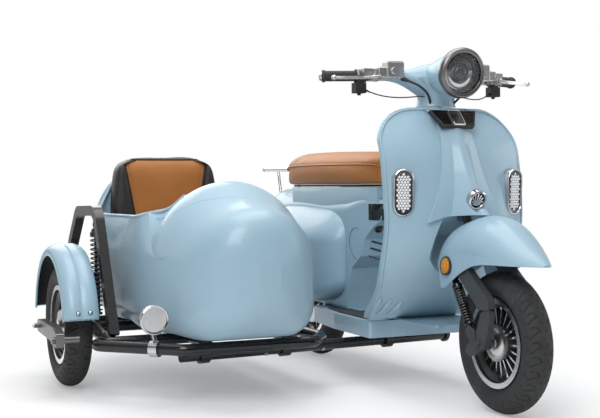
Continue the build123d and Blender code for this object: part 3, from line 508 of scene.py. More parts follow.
# ---- dressing the nodes --------------------------------------------------------------------
NODE_FINISH = {
    "body blue": (
        "cowl_left", "cowl_right", "front_cover", "front_mudguard", "headset", "inner_shield",
        "leg_shield",
        "nose_keel", "rear_body", "sidecar_body", "sidecar_mudguard", "floorboard",
    ),
    "frame black": (
        "scooter_frame", "rear_swingarm", "sidecar_frame", "sidecar_hoop", "tie_tube",
        "sidecar_shock",
        "front_shocks", "rear_shocks", "handlebar",
    ),
    "dark casting": ("fork", "front_links"),
    "tyre rubber": ("front_tyre", "rear_tyre", "sidecar_tyre"),
    "soft rubber": (
        "grip_left", "grip_right", "floor_mat", "brake_hose_left", "brake_hose_right",
        "switch_cable_left",
        "switch_cable_right",
    ),
    "black moulding": ("seat_base", "belly_pan", "battery_box", "storage_bucket", "plate_bracket"),
    "satin ring": ("sidecar_arm",),
    "brushed silver": ("badge_plate", "brake_control_left", "brake_control_right"),
    "chrome": (
        "headlight_bowl", "horn_grille", "signal_left", "signal_right", "rear_rack", "sidecar_lamp",
    ),
    "tan hide": ("seat_cushion", "sidecar_cushion", "sidecar_backrest"),
    "clear lens": ("headlight_lens", "sidecar_lamp_lens"),
    "amber lens": ("reflectors",),
    "red lens": ("tail_lamp",),
    "front wheel": ("front_rim",),
    "rear wheel": ("rear_rim",),
    "sidecar wheel": ("sidecar_rim",),
    "front turned": ("front_hub",),
    "rear turned": ("rear_hub_motor",),
}


class SIDECAR_OT_finishes(bpy.types.Operator):
    """Makes every finish and gives each node of the frame its own"""

    bl_idname = "sidecar.finishes"
    bl_label = "Finishes"

    def execute(self, context):
        tints = context.scene.sidecar_colours
        painted("body blue", tints.body, 0.42, 0.3)
        painted("frame black", tints.frame, 0.26, 0.2)
        cast_finish("dark casting", (0.075, 0.077, 0.08))
        rubber_finish("tyre rubber", (0.022, 0.023, 0.024))
        rubber_finish("soft rubber", (0.016, 0.016, 0.017), 0.6)
        moulded_finish("black moulding", (0.02, 0.02, 0.022))
        metal_finish("brushed silver", (0.60, 0.60, 0.59), 0.36)
        metal_finish("chrome", (0.60, 0.60, 0.61), 0.15, (60.0, 60.0, 60.0), 0.000004)
        metal_finish("satin ring", (0.20, 0.195, 0.19), 0.34, (30.0, 30.0, 30.0), 0.000006)
        metal_finish("mirror", (0.74, 0.74, 0.75), 0.13, (20.0, 20.0, 20.0), 0.000002)
        metal_finish("spring wire", (0.10, 0.10, 0.105), 0.3, (60.0, 60.0, 60.0), 0.000004)
        painted("black gloss", (0.008, 0.008, 0.009), 0.18, 0.6)
        rubber_finish("thread", (0.30, 0.14, 0.06), 0.8)
        # Painted shade for the body's seams: the body paint darkened to 0.32.
        painted("body shade", [c * 0.32 for c in tints.body], 0.5, 0.1)
        cast_finish("gunmetal", (0.16, 0.145, 0.13), 0.4, 0.8)
        metal_finish("bronze flutes", (0.085, 0.078, 0.07), 0.24, (30.0, 30.0, 30.0), 0.000006)
        painted("lamp white", (0.86, 0.88, 0.9), 0.3, 0.3)
        hide_finish("tan hide", tints.hide)
        hide_finish("black hide", (0.012, 0.012, 0.013), 0.4)
        Finish("lamp dark", (0.035, 0.035, 0.04), 0.2, 0.6, 0.4)
        Finish("clear lens", (0.62, 0.64, 0.66), 0.03, 0.0, 1.0, Alpha=0.05)
        lens_finish("amber lens", (1.0, 0.42, 0.02), 0.5)
        lens_finish("red lens", (0.7, 0.01, 0.01), 0.4)
        for name, centre, _ in WHEELS:
            wheel_finish(name + " wheel", centre)
            turned_metal(name + " turned", (0.66, 0.66, 0.65), 0.3, centre)
        for finish, names in NODE_FINISH.items():
            for name in names:
                if name in NODES:
                    dress(NODES[name], Finish.made[finish])
        return {"FINISHED"}


def dress(node, finish):
    """Gives a node a finish; its own normals keep the true curves."""
    node.data.materials.clear()
    node.data.materials.append(finish)
    for face in node.data.polygons:
        face.material_index = 0
    if not node.data.has_custom_normals:
        split = node.modifiers.new("edges", "EDGE_SPLIT")
        split.split_angle = radians(32.0)


# ---- surfaces and patterns -------------------------------------------------------------------
class Skin:
    """A node's surface, which trims are laid on."""

    def __init__(self, *names):
        points, faces = [], []
        for name in names:
            mesh = (NODES.get(name) or bpy.data.objects[name]).data
            start = len(points)
            points.extend(v.co.copy() for v in mesh.vertices)
            faces.extend([start + i for i in face.vertices] for face in mesh.polygons)
        self.tree = BVHTree.FromPolygons(points, faces)

    def hit(self, start, towards):
        """The first point met from start, and the way its surface faces."""
        spot, normal, _, _ = self.tree.ray_cast(place(start), Vector(towards).normalized())
        if spot is None:
            return None, None
        if normal.dot(Vector(towards)) > 0:
            normal = -normal
        return spot * 1000.0 - SHIFT, normal

    def laid(self, starts, towards, rise=0.0):
        """Points on the surface below each start, raised along its normal."""
        made = []
        for start in starts:
            spot, normal = self.hit(start, towards)
            if spot is not None:
                made.append(spot + normal * rise)
        return made


class Pattern(Graph):
    """A Geometry Nodes tree with named inputs, grown once into a plain mesh."""

    def __init__(self, name, **inputs):
        tree = bpy.data.node_groups.new(name, "GeometryNodeTree")
        face = tree.interface
        face.new_socket("Geometry", in_out="INPUT", socket_type="NodeSocketGeometry")
        face.new_socket("Geometry", in_out="OUTPUT", socket_type="NodeSocketGeometry")
        kinds = {int: "NodeSocketInt", float: "NodeSocketFloat", Vector: "NodeSocketVector"}
        for label, value in inputs.items():
            face.new_socket(label, in_out="INPUT", socket_type=kinds[type(value)])
        super().__init__(tree)
        self.inputs = inputs
        self.hidden = None
        self.start = tree.nodes.new("NodeGroupInput")
        self.end = tree.nodes.new("NodeGroupOutput")

    def given(self, label="Geometry"):
        return Wire(self, self.start.outputs[label])

    def unit(self, mesh):
        """A mesh that the pattern repeats, brought in through a hidden object."""
        self.hidden = put(mesh.name + " unit", mesh)
        return self.node("GeometryNodeObjectInfo", None, {"Object": self.hidden}, out="Geometry")

    def grow(self, name, last, finish, host=None):
        """Realizes the instances, sets the finish and returns the plain mesh."""
        solid = self.node("GeometryNodeRealizeInstances", None, {"Geometry": last})
        merged = self.node(
            "GeometryNodeMergeByDistance", None, {"Geometry": solid, "Distance": 0.00002}
        )
        dressed = self.node(
            "GeometryNodeSetMaterial", None, {"Geometry": merged, "Material": Finish.made[finish]}
        )
        self.tree.links.new(dressed.socket, self.end.inputs["Geometry"])
        holder = put(name + " pattern", host or bpy.data.meshes.new(name + " host"))
        growth = holder.modifiers.new("growth", "NODES")
        growth.node_group = self.tree
        for item in self.tree.interface.items_tree:
            if item.in_out == "INPUT" and item.name in self.inputs:
                growth[item.identifier] = self.inputs[item.name]
        bpy.context.view_layer.update()
        whole = holder.evaluated_get(bpy.context.evaluated_depsgraph_get())
        mesh = bpy.data.meshes.new_from_object(whole)
        mesh.name = name
        growth.node_group = None
        holder.modifiers.remove(growth)
        bpy.data.objects.remove(holder)
        if self.hidden:
            bpy.data.objects.remove(self.hidden)
        if not mesh.materials:
            mesh.materials.append(Finish.made[finish])
        return mesh


def as_piece(name, mesh, body, replaces=(), angle=38.0):
    """Links a finished mesh as a piece that rides on a body."""
    finish_mesh(mesh, angle)
    made = put(name, mesh)
    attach(made, body)
    if replaces:
        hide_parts(*replaces)
    return made


def ring_of(name, unit_mesh, count, centre, finish):
    """Repeats a mesh about an axis along x through a centre."""
    p = Pattern(name, Count=int(count), Centre=place(centre))
    spots = p.node("GeometryNodeMeshLine", None, {"Count": p.given("Count"), "Offset": (0, 0, 0)})
    turn = p.node("GeometryNodeInputIndex") * (2 * pi) / p.given("Count")
    turned = p.node("ShaderNodeCombineXYZ", None, {0: turn})
    ring = p.node(
        "GeometryNodeInstanceOnPoints", None,
        {"Points": spots, "Instance": p.unit(unit_mesh), "Rotation": turned},
    )
    moved = p.node(
        "GeometryNodeTransform", None, {"Geometry": ring, "Translation": p.given("Centre")}
    )
    return p.grow(name, moved, finish)


def coil_between(name, top, bottom, radius, wire, turns, finish):
    """A coil spring between two points."""
    low, high = place(bottom), place(top)
    line = high - low
    tilt = line.to_track_quat("Z", "Y").to_euler()
    p = Pattern(
        name, Turns=float(turns), Radius=radius / 1000, Wire=wire / 1000, Height=line.length,
        Foot=low, Tilt=Vector(tilt),
    )
    spiral = p.node(
        "GeometryNodeCurveSpiral", None,
        {
            "Resolution": 22, "Rotations": p.given("Turns"), "Start Radius": p.given("Radius"),
            "End Radius": p.given("Radius"), "Height": p.given("Height"),
        },
    )
    section = p.node(
        "GeometryNodeCurvePrimitiveCircle", None, {"Resolution": 10, "Radius": p.given("Wire")}
    )
    tube = p.node(
        "GeometryNodeCurveToMesh", None,
        {"Curve": spiral, "Profile Curve": section, "Fill Caps": True}
    )
    tilted = p.node(
        "GeometryNodeTransform", None,
        {"Geometry": tube, "Translation": p.given("Foot"), "Rotation": p.given("Tilt")},
    )
    return p.grow(name, tilted, finish)


def spread(name, unit_mesh, spots, finish):
    """Repeats a mesh at spots of (point, the way it faces)."""
    host = new_mesh(name + " spots", [place(spot) for spot, _ in spots], [])
    aim = host.attributes.new("aim", "FLOAT_VECTOR", "POINT")
    for i, (_, way) in enumerate(spots):
        aim.data[i].vector = Vector(way).normalized()
    p = Pattern(name, Size=1.0)
    way = p.node("GeometryNodeInputNamedAttribute", {"data_type": "FLOAT_VECTOR"}, {"Name": "aim"})
    aligned = p.node("FunctionNodeAlignRotationToVector", {"axis": "Z"}, {"Vector": way})
    placed = p.node(
        "GeometryNodeInstanceOnPoints", None,
        {
            "Points": p.given(), "Instance": p.unit(unit_mesh), "Rotation": aligned,
            "Scale": p.given("Size")
        },
    )
    return p.grow(name, placed, finish, host)


def lathed_mesh(name, profile, sides=6):
    """A small turned mesh on the z axis, in metres, with its foot at the origin."""
    form = Form().lathe(profile, (0, 0, 0), (0, 0, 1), sides)
    mesh = new_mesh(name, [p / 1000.0 for p in form.points], form.faces)
    finish_mesh(mesh, 30.0)
    return mesh


def bolt_mesh(across):
    """A hexagon head on a washer."""
    r = across * 0.5
    return lathed_mesh("bolt", [(0, r), (r * 0.8, r), (r, r * 0.8), (r, r * 0.18), (r, 0)], 6)


class Plane:
    """A flat working plane: across, up and out, measured from an origin."""

    def __init__(self, origin, across, out):
        self.origin = Vector(origin)
        self.out = Vector(out).normalized()
        self.across = Vector(across) - self.out * self.out.dot(Vector(across))
        self.across.normalize()
        self.up = self.out.cross(self.across)

    def at(self, a, b, c=0.0):
        return self.origin + self.across * a + self.up * b + self.out * c

    def polar(self, radius, turn, c):
        return self.at(radius * cos(turn), radius * sin(turn), c)


# ---- cords -----------------------------------------------------------------------------------
HOSE_ROUTE = (
    (134, -966, 1042), (112, -984, 1032), (84, -1002, 1014), (60, -1012, 986), (42, -986, 960)
)
CABLE_ROUTE = (
    (241, -902, 1008), (222, -914, 998), (190, -934, 986), (150, -952, 981),
    (110, -972, 982), (78, -984, 986), (50, -972, 984),
)
CORDS = (
    ("brake_hose_", HOSE_ROUTE, 4.0, 0.144),
    ("switch_cable_", CABLE_ROUTE, 2.0, 0.2163),
)
SIDES = (("right", -1), ("left", 1))


class SIDECAR_OT_cords(bpy.types.Operator):
    """Makes the brake hoses and switch cables between the bars and the headset"""

    bl_idname = "sidecar.cords"
    bl_label = "Cords"

    def execute(self, context):
        boots = Form()
        for word, side in SIDES:
            for kind, route, radius, length in CORDS:
                knots = [place(sided(side, *k)) for k in route]
                curve = bpy.data.curves.new(kind + word + "_line", "CURVE")
                curve.dimensions = "3D"
                line = curve.splines.new("NURBS")
                line.points.add(len(knots) - 1)
                for point, knot in zip(line.points, knots):
                    point.co = (*knot, 1.0)
                line.order_u = 3
                line.use_endpoint_u = True
                line.resolution_u = 10
                curve.bevel_depth = radius / 1000
                curve.bevel_resolution = 4
                curve.use_fill_caps = True
                curve.materials.append(Finish.made["soft rubber"])
                made = put(kind + word + "_line", curve)
                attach(made, "steering")
                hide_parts(kind + word)
                start, towards = (sided(side, *k) for k in route[:2])
                ahead = (towards - start).normalized()
                boots.tube(
                    [start - ahead * 4, start + ahead * 3, start + ahead * 12, start + ahead * 20],
                    [radius * 2.0, radius * 1.9, radius * 1.5, radius * 1.1], 14,
                )
        boots.piece("cord_boots", "steering", ["soft rubber"], "rubber", angle=50)
        return {"FINISHED"}


# ---- wheels ----------------------------------------------------------------------------------
TREAD_REPEATS = 30
REPEAT_STEPS = 18
BEAD_RADIUS, BEAD_X = 127.0, 28.8
# The side wall's arc: its middle as (radius, x), its radius and its ends in radians.
WALL_MIDDLE = (171.1085511, 6.5460808)
WALL_RADIUS = 39.0665582
WALL_SWING = (2.5355235, 1.3934656)
WALL_STEPS = 10
WALL_BANDS = (3, 4, 8)
# The crown's arc, with its ends in degrees from the middle.
CROWN_MIDDLE = 170.36
CROWN_RADIUS = 45.64
CROWN_SWING = 80.4
CROWN_STEPS = 62


def groove_depth(angle, phase, depth):
    """Depth of the tread's cuts at an angle off the crown and a phase along the tyre."""
    reach = abs(angle)
    along = phase + (0.5 if angle > 0 else 0.0)

    def near(centre, half):
        gap = abs((along - centre + 0.5) % 1.0 - 0.5)
        return max(0.0, min(1.0, (half - gap) / 0.03 + 0.5))

    cut = 0.0
    if 13 < reach < 60:
        share = (reach - 13) / 47
        cut = max(cut, near(0.2 + 0.42 * share**1.5, 0.05 * (1.15 - 0.6 * share)))
    if 13 < reach < 33:
        share = (reach - 13) / 20
        cut = max(cut, near(0.2 - 0.34 * share, 0.045))
    if 36 < reach < 54:
        cut = max(cut, near(0.86 + 0.1 * (reach - 36) / 18, 0.032))
    if 3 < reach < 9:
        cut = max(cut, near(0.62, 0.05))
    if 66 < reach < 79:
        cut = max(cut, 0.7 * near(0.45, 0.09))
    return depth * cut


def tyre_unit(depth):
    """One repeat of the tyre about the x axis, in metres."""
    wall = []
    for i in range(WALL_STEPS + 1):
        swing = WALL_SWING[0] + (WALL_SWING[1] - WALL_SWING[0]) * i / WALL_STEPS
        raised = 0.9 if i in WALL_BANDS else 0.0
        wall.append(
            (
                WALL_MIDDLE[0] + WALL_RADIUS * cos(swing),
                WALL_MIDDLE[1] + WALL_RADIUS * sin(swing) + raised
            )
        )
    swings = [2 * i / CROWN_STEPS - 1 for i in range(1, CROWN_STEPS)]
    crown = [radians(CROWN_SWING * share) for share in swings]
    rows = []
    for step in range(REPEAT_STEPS + 1):
        phase = step / REPEAT_STEPS
        turn = 2 * pi * phase / TREAD_REPEATS
        profile = [(BEAD_RADIUS, -BEAD_X)] + [(r, -x) for r, x in wall]
        for swing in crown:
            reach = CROWN_RADIUS - groove_depth(swing * 180 / pi, phase % 1.0, depth)
            profile.append((CROWN_MIDDLE + reach * cos(swing), reach * sin(swing)))
        profile += wall[::-1] + [(BEAD_RADIUS, BEAD_X)]
        rows.append([Vector((x, -r * sin(turn), r * cos(turn))) / 1000 for r, x in profile])
    form = Form().rows(rows, closed=True)
    return new_mesh("tyre repeat", form.points, form.faces)


class SIDECAR_OT_wheels(bpy.types.Operator):
    """Makes the tyres with their cut tread, and the hub covers"""

    bl_idname = "sidecar.wheels"
    bl_label = "Wheels"

    def execute(self, context):
        depth = context.scene.sidecar_sizes.tread_depth * 1000
        for name, centre, body in WHEELS:
            mesh = ring_of(
                name + "_tyre_tread", tyre_unit(depth), TREAD_REPEATS, centre, "tyre rubber"
            )
            as_piece(name + "_tyre_tread", mesh, body, [name + "_tyre"], 34.0)
            self.covers(name, centre, body)
        return {"FINISHED"}

    def covers(self, name, centre, body):
        """Turned covers over the hub, and the valve."""
        wide = 82.0 if name == "rear" else 50.0
        face = 38.5 if name == "rear" else 31.5
        for side in (-1, 1):
            if name == "front" and side > 0:
                continue
            cover = Form().lathe(
                [
                    (wide, face - 9), (wide + 1, face - 5), (wide - 2, face - 1),
                    (wide - 7, face + 0.5),
                    (wide - 9, face - 0.5), (wide * 0.7, face + 3), (wide * 0.4, face + 5.5),
                    (wide * 0.26, face + 6), (wide * 0.24, face + 9), (13, face + 9.5),
                    (8.6, face + 9.5),
                    (8.6, face - 9),
                ],
                centre, (side, 0, 0), 72, closed=True,
            )
            word = "right" if side < 0 else "left"
            cover.piece(f"{name}_hub_cover_{word}", body, [name + " turned"], "silver", angle=30)
        valve = Form()
        lip = Vector(centre) + Vector((-16, 0, -112))
        valve.tube([lip, lip + Vector((-8, 0, 14)), lip + Vector((-20, 0, 26))], [4.5, 4, 3.4], 12)
        valve.piece(name + "_valve", body, ["soft rubber"], "rubber", angle=50)


# ---- suspension springs ------------------------------------------------------------------------
SPRINGS = (
    (
        "front_shocks", "front_spring", (78, -1191, 406), (78, -1291, 250), 16.0, 13, "steering",
        True
    ),
    ("rear_shocks", "rear_spring", (67, 96, 424), (67, 14, 240), 15.0, 13, "chassis", True),
    (
        "sidecar_shock", "sidecar_spring", (-1000, -300, 562), (-1000, -310, 228), 20.0, 17,
        "chassis", False
    ),
)


class SIDECAR_OT_springs(bpy.types.Operator):
    """Makes the suspension units with wound springs"""

    bl_idname = "sidecar.springs"
    bl_label = "Springs"

    def execute(self, context):
        for node, name, top, bottom, radius, turns, body, both in SPRINGS:
            unit = Form()
            for side in (1, -1) if both else (1,):
                high, low = sided(side, *top), sided(side, *bottom)
                ahead = (high - low).normalized()
                full = (high - low).length
                unit.lathe(
                    [
                        (0, 10), (6, 10), (9, 16), (radius * 0.95, 18), (radius, 20), (radius, 25),
                        (radius * 0.6, 28), (radius * 0.6, full * 0.5),
                        (radius * 0.28, full * 0.5 + 1),
                        (radius * 0.28, full - 44), (radius * 0.95, full - 42), (radius, full - 40),
                        (radius, full - 28), (radius * 0.8, full - 24), (radius * 0.66, full - 14),
                        (0, full - 12),
                    ],
                    low, ahead, 28,
                )
                for end in (low, high):
                    unit.lathe(
                        [(5, -7.5), (12, -7.5), (13, -6), (13, 6), (12, 7.5), (5, 7.5)], end,
                        (1, 0, 0), 28, closed=True
                    )
                word = ("_left" if side > 0 else "_right") if both else ""
                mesh = coil_between(
                    name + word, high - ahead * 40, low + ahead * 26, radius - 1.5, 2.6, turns,
                    "spring wire"
                )
                as_piece(name + word, mesh, body, angle=60)
            unit.piece(name + "_units", body, ["frame black"], "black", [node], angle=32)
        return {"FINISHED"}


# ---- lamps -----------------------------------------------------------------------------------
HEADLAMP = Plane((0, -1112, 1052), (1, 0, 0), (0, -cos(radians(8)), -sin(radians(8))))


class SIDECAR_OT_headlamp(bpy.types.Operator):
    """Makes the headlamp ring, reflector, projector and glass"""

    bl_idname = "sidecar.headlamp"
    bl_label = "Headlamp"

    def execute(self, context):
        s = HEADLAMP
        ring = Form()
        ring.lathe(
            [
                (66, -20), (77.5, -16), (80.5, -8), (81.5, 0), (80.5, 7), (77.5, 12.5), (73, 15),
                (68.5, 14.5),
                (65.5, 12), (64.6, 8), (63, 2), (62, -6),
            ],
            s.origin, s.out, 96, closed=True,
        )
        ring.piece(
            "headlamp_ring", "steering", ["satin ring"], "chrome", ["headlight_bowl"], angle=34
        )
        well = Form()
        well.lathe(
            [(63.5, 8), (60, 2), (55, -10), (52, -14), (50, -22), (50, -46), (0, -46)], s.origin,
            s.out, 72
        )
        well.piece("headlamp_well", "steering", ["black gloss"], "black", angle=30)
        dish = Form()
        dish.lathe(
            [(50.5, -13), (48.5, -12.5), (47, -15), (45, -22), (39, -30), (33, -35), (28.5, -38)],
            s.origin + s.up * -3, s.out, 72,
        )
        # A bright crescent under the projector.
        rows = []
        for i in range(33):
            turn = radians(197 + 146 * i / 32)
            wide = 6.2 * sin(pi * i / 32) ** 0.45 + 0.6
            ring_turns = [2 * pi * k / 12 for k in range(12)]
            rows.append(
                [s.polar(40.5 + wide * cos(a), turn, -13 + 5 * sin(a)) - s.up for a in ring_turns]
            )
        dish.rows(rows, closed=True, caps=True, tag=1)
        dish.lathe(
            [(30, -38), (31.5, -20), (30.5, -9), (28.6, -7), (27, -9), (26.8, -38)], s.origin,
            s.out, 64, tag=2, closed=True
        )
        dish.piece(
            "headlamp_dish", "steering", ["mirror", "lamp white", "chrome"], "chrome", angle=34
        )
        hood = Form()
        rows = []
        for i in range(33):
            turn = radians(12 + 156 * i / 32)
            profile = ((32.5, -28), (32.5, -10), (36, -7.5), (47, -9), (49, -13), (46, -24))
            rows.append([s.polar(r, turn, c) for r, c in profile])
        hood.rows(rows, closed=True, caps=True)
        hood.piece("headlamp_hood", "steering", ["black gloss"], "black", angle=34)
        eye = Form()
        eye.lathe(
            [(26.6, -12), (26, -7.5), (23, -2.5), (17, 2), (9, 4.6), (0, 5.4)], s.origin, s.out, 48
        )
        eye.lathe([(26.6, -12), (24, -16), (14, -18), (0, -19)], s.origin, s.out, 48)
        eye.piece("headlamp_projector", "steering", ["frame black"], "clear", angle=60)
        glass = Form()
        outer = [(63.2, 7.0), (60, 9.2), (48, 12.2), (30, 14.4), (14, 15.4), (0, 15.7)]
        inner = [(r, a - 1.8) for r, a in reversed(outer)]
        glass.lathe(outer + inner, s.origin, s.out, 72, closed=True)
        glass.piece(
            "headlamp_glass", "steering", ["clear lens"], "clear", ["headlight_lens"], angle=60
        )
        return {"FINISHED"}


SIGNAL_LENGTH = 152.0
SIGNAL_WIDTH = 70.0
SLOT_POINTS = 28
PIP_PITCH = (9.6, 8.3)


def slot_line(less):
    """The outline of an upright slot with round ends, smaller than the signal by less."""
    half = (SIGNAL_WIDTH - less) / 2
    reach = (SIGNAL_LENGTH - SIGNAL_WIDTH) / 2
    made = []
    for k in range(SLOT_POINTS):
        turn = 2 * pi * k / SLOT_POINTS
        made.append((half * cos(turn), (reach if turn <= pi - 1e-9 else -reach) + half * sin(turn)))
    return made


def slot_form(s, steps, loop=False):
    """A skin over slots of (width reduction, height), closed on itself or capped at the last."""
    rows = [[s.at(a, b, height) for a, b in slot_line(less)] for less, height in steps]
    form = Form().rows(rows + rows[:loop], closed=True)
    if not loop:
        form.faces.append([(len(rows) - 1) * SLOT_POINTS + i for i in range(SLOT_POINTS)])
        form.tags.append(0)
    return form


class SIDECAR_OT_signals(bpy.types.Operator):
    """Makes the upright signal lamps on the leg shield"""

    bl_idname = "sidecar.signals"
    bl_label = "Signals"

    def execute(self, context):
        for word, side in SIDES:
            s = Plane(
                (side * 207, -1098, 670), (cos(radians(15)), side * sin(radians(15)), 0),
                (side * sin(radians(15)), -cos(radians(15)), -0.05),
            )
            self.lamp(word, s)
        return {"FINISHED"}

    def floor_height(self, s):
        """Height over the working plane that clears the shield's surface."""
        skin = Skin("leg_shield")
        floor = -10.0
        for a in (-22, 0, 22):
            for b in (-56, -28, 0, 28, 56):
                spot, _ = skin.hit(s.at(a, b, 80), -s.out)
                if spot is not None:
                    floor = max(floor, (spot - s.origin).dot(s.out) + 1.2)
        return min(floor, 5.0)

    def in_lens(self, a, b):
        """Whether a pip at a, b stays inside the lens."""
        a, b = abs(a), abs(b)
        return a < 22 and b < 60 - 0.2 * a and (b < 42 or a * a + (b - 41) ** 2 < 19**2)

    def lamp(self, word, s):
        """The bezel, reflector, pips and lens of one signal."""
        rim = [
            (2, -30), (0, -24), (-1, 0), (1, 5), (5, 8), (9.5, 9), (13, 7), (15, 3), (16, -8),
            (16, -30),
        ]
        slot_form(s, rim, loop=True).piece(
            "signal_bezel_" + word, "chassis", ["chrome"], "chrome", ["signal_" + word], angle=34
        )
        floor = self.floor_height(s)
        back = [(15, floor + 2.5), (26, floor + 0.8), (40, floor + 0.2), (60, floor)]
        slot_form(s, back).piece(
            "signal_reflector_" + word, "chassis", ["lamp dark"], "chrome", angle=34
        )
        pips = []
        for row in range(15):
            for column in range(-2, 3):
                a = (column + 0.5 * (row % 2)) * PIP_PITCH[0]
                b = -58 + row * PIP_PITCH[1]
                if self.in_lens(a, b):
                    pips.append((s.at(a, b, floor), s.out))
        unit = lathed_mesh("pip", [(4.6, -0.5), (4.2, 1.3), (3.0, 2.6), (1.4, 3.2), (0, 3.4)], 10)
        mesh = spread("signal_pips_" + word, unit, pips, "lamp white")
        as_piece("signal_pips_" + word, mesh, "chassis", angle=60)
        slot_form(s, [(15, 4), (17, 8), (24, 11), (36, 13), (56, 14)]).piece(
            "signal_lens_" + word, "chassis", ["clear lens"], "clear", angle=50
        )


class SIDECAR_OT_side_lamp(bpy.types.Operator):
    """Makes the sidecar's round lamp"""

    bl_idname = "sidecar.side_lamp"
    bl_label = "Sidecar lamp"

    def execute(self, context):
        middle = Vector((-957, -880, 286))
        out = (0, -1, 0)
        ring = Form()
        ring.lathe(
            [(40, -6), (46, -4), (47, 1), (45.5, 5), (42.5, 7), (39.5, 6), (38.6, 1), (38.2, -6)],
            middle, out, 64, closed=True
        )
        ring.lathe(
            [(38.4, 0), (34, -10), (30, -12), (24, -20), (20, -21), (12, -26), (0, -28)], middle,
            out, 48, tag=1
        )
        ring.lathe([(0, -6), (5, -7), (8, -12), (8, -28)], middle, out, 24, tag=2)
        ring.piece(
            "side_lamp_ring", "chassis", ["chrome", "mirror", "lamp white"], "chrome", angle=34
        )
        glass = Form()
        outer = [(39, 3), (34, 6), (22, 9), (10, 10.6), (0, 11)]
        glass.lathe(
            outer + [(r, a - 1.8) for r, a in reversed(outer)], middle, out, 48, closed=True
        )
        for k in range(-4, 5):
            x = 7.6 * k
            reach = sqrt(max(0.0, 36.0**2 - x * x))
            heights = [reach * share for share in (-1, -0.5, 0, 0.5, 1)]
            bar = [middle + Vector((x, 8.0 * (x * x + b * b) / 39.0**2 - 11.0, b)) for b in heights]
            glass.tube(bar, [0.8, 1.8, 2.0, 1.8, 0.8], 8)
        glass.piece(
            "side_lamp_glass", "chassis", ["clear lens"], "clear", ["sidecar_lamp_lens"], angle=60
        )
        return {"FINISHED"}


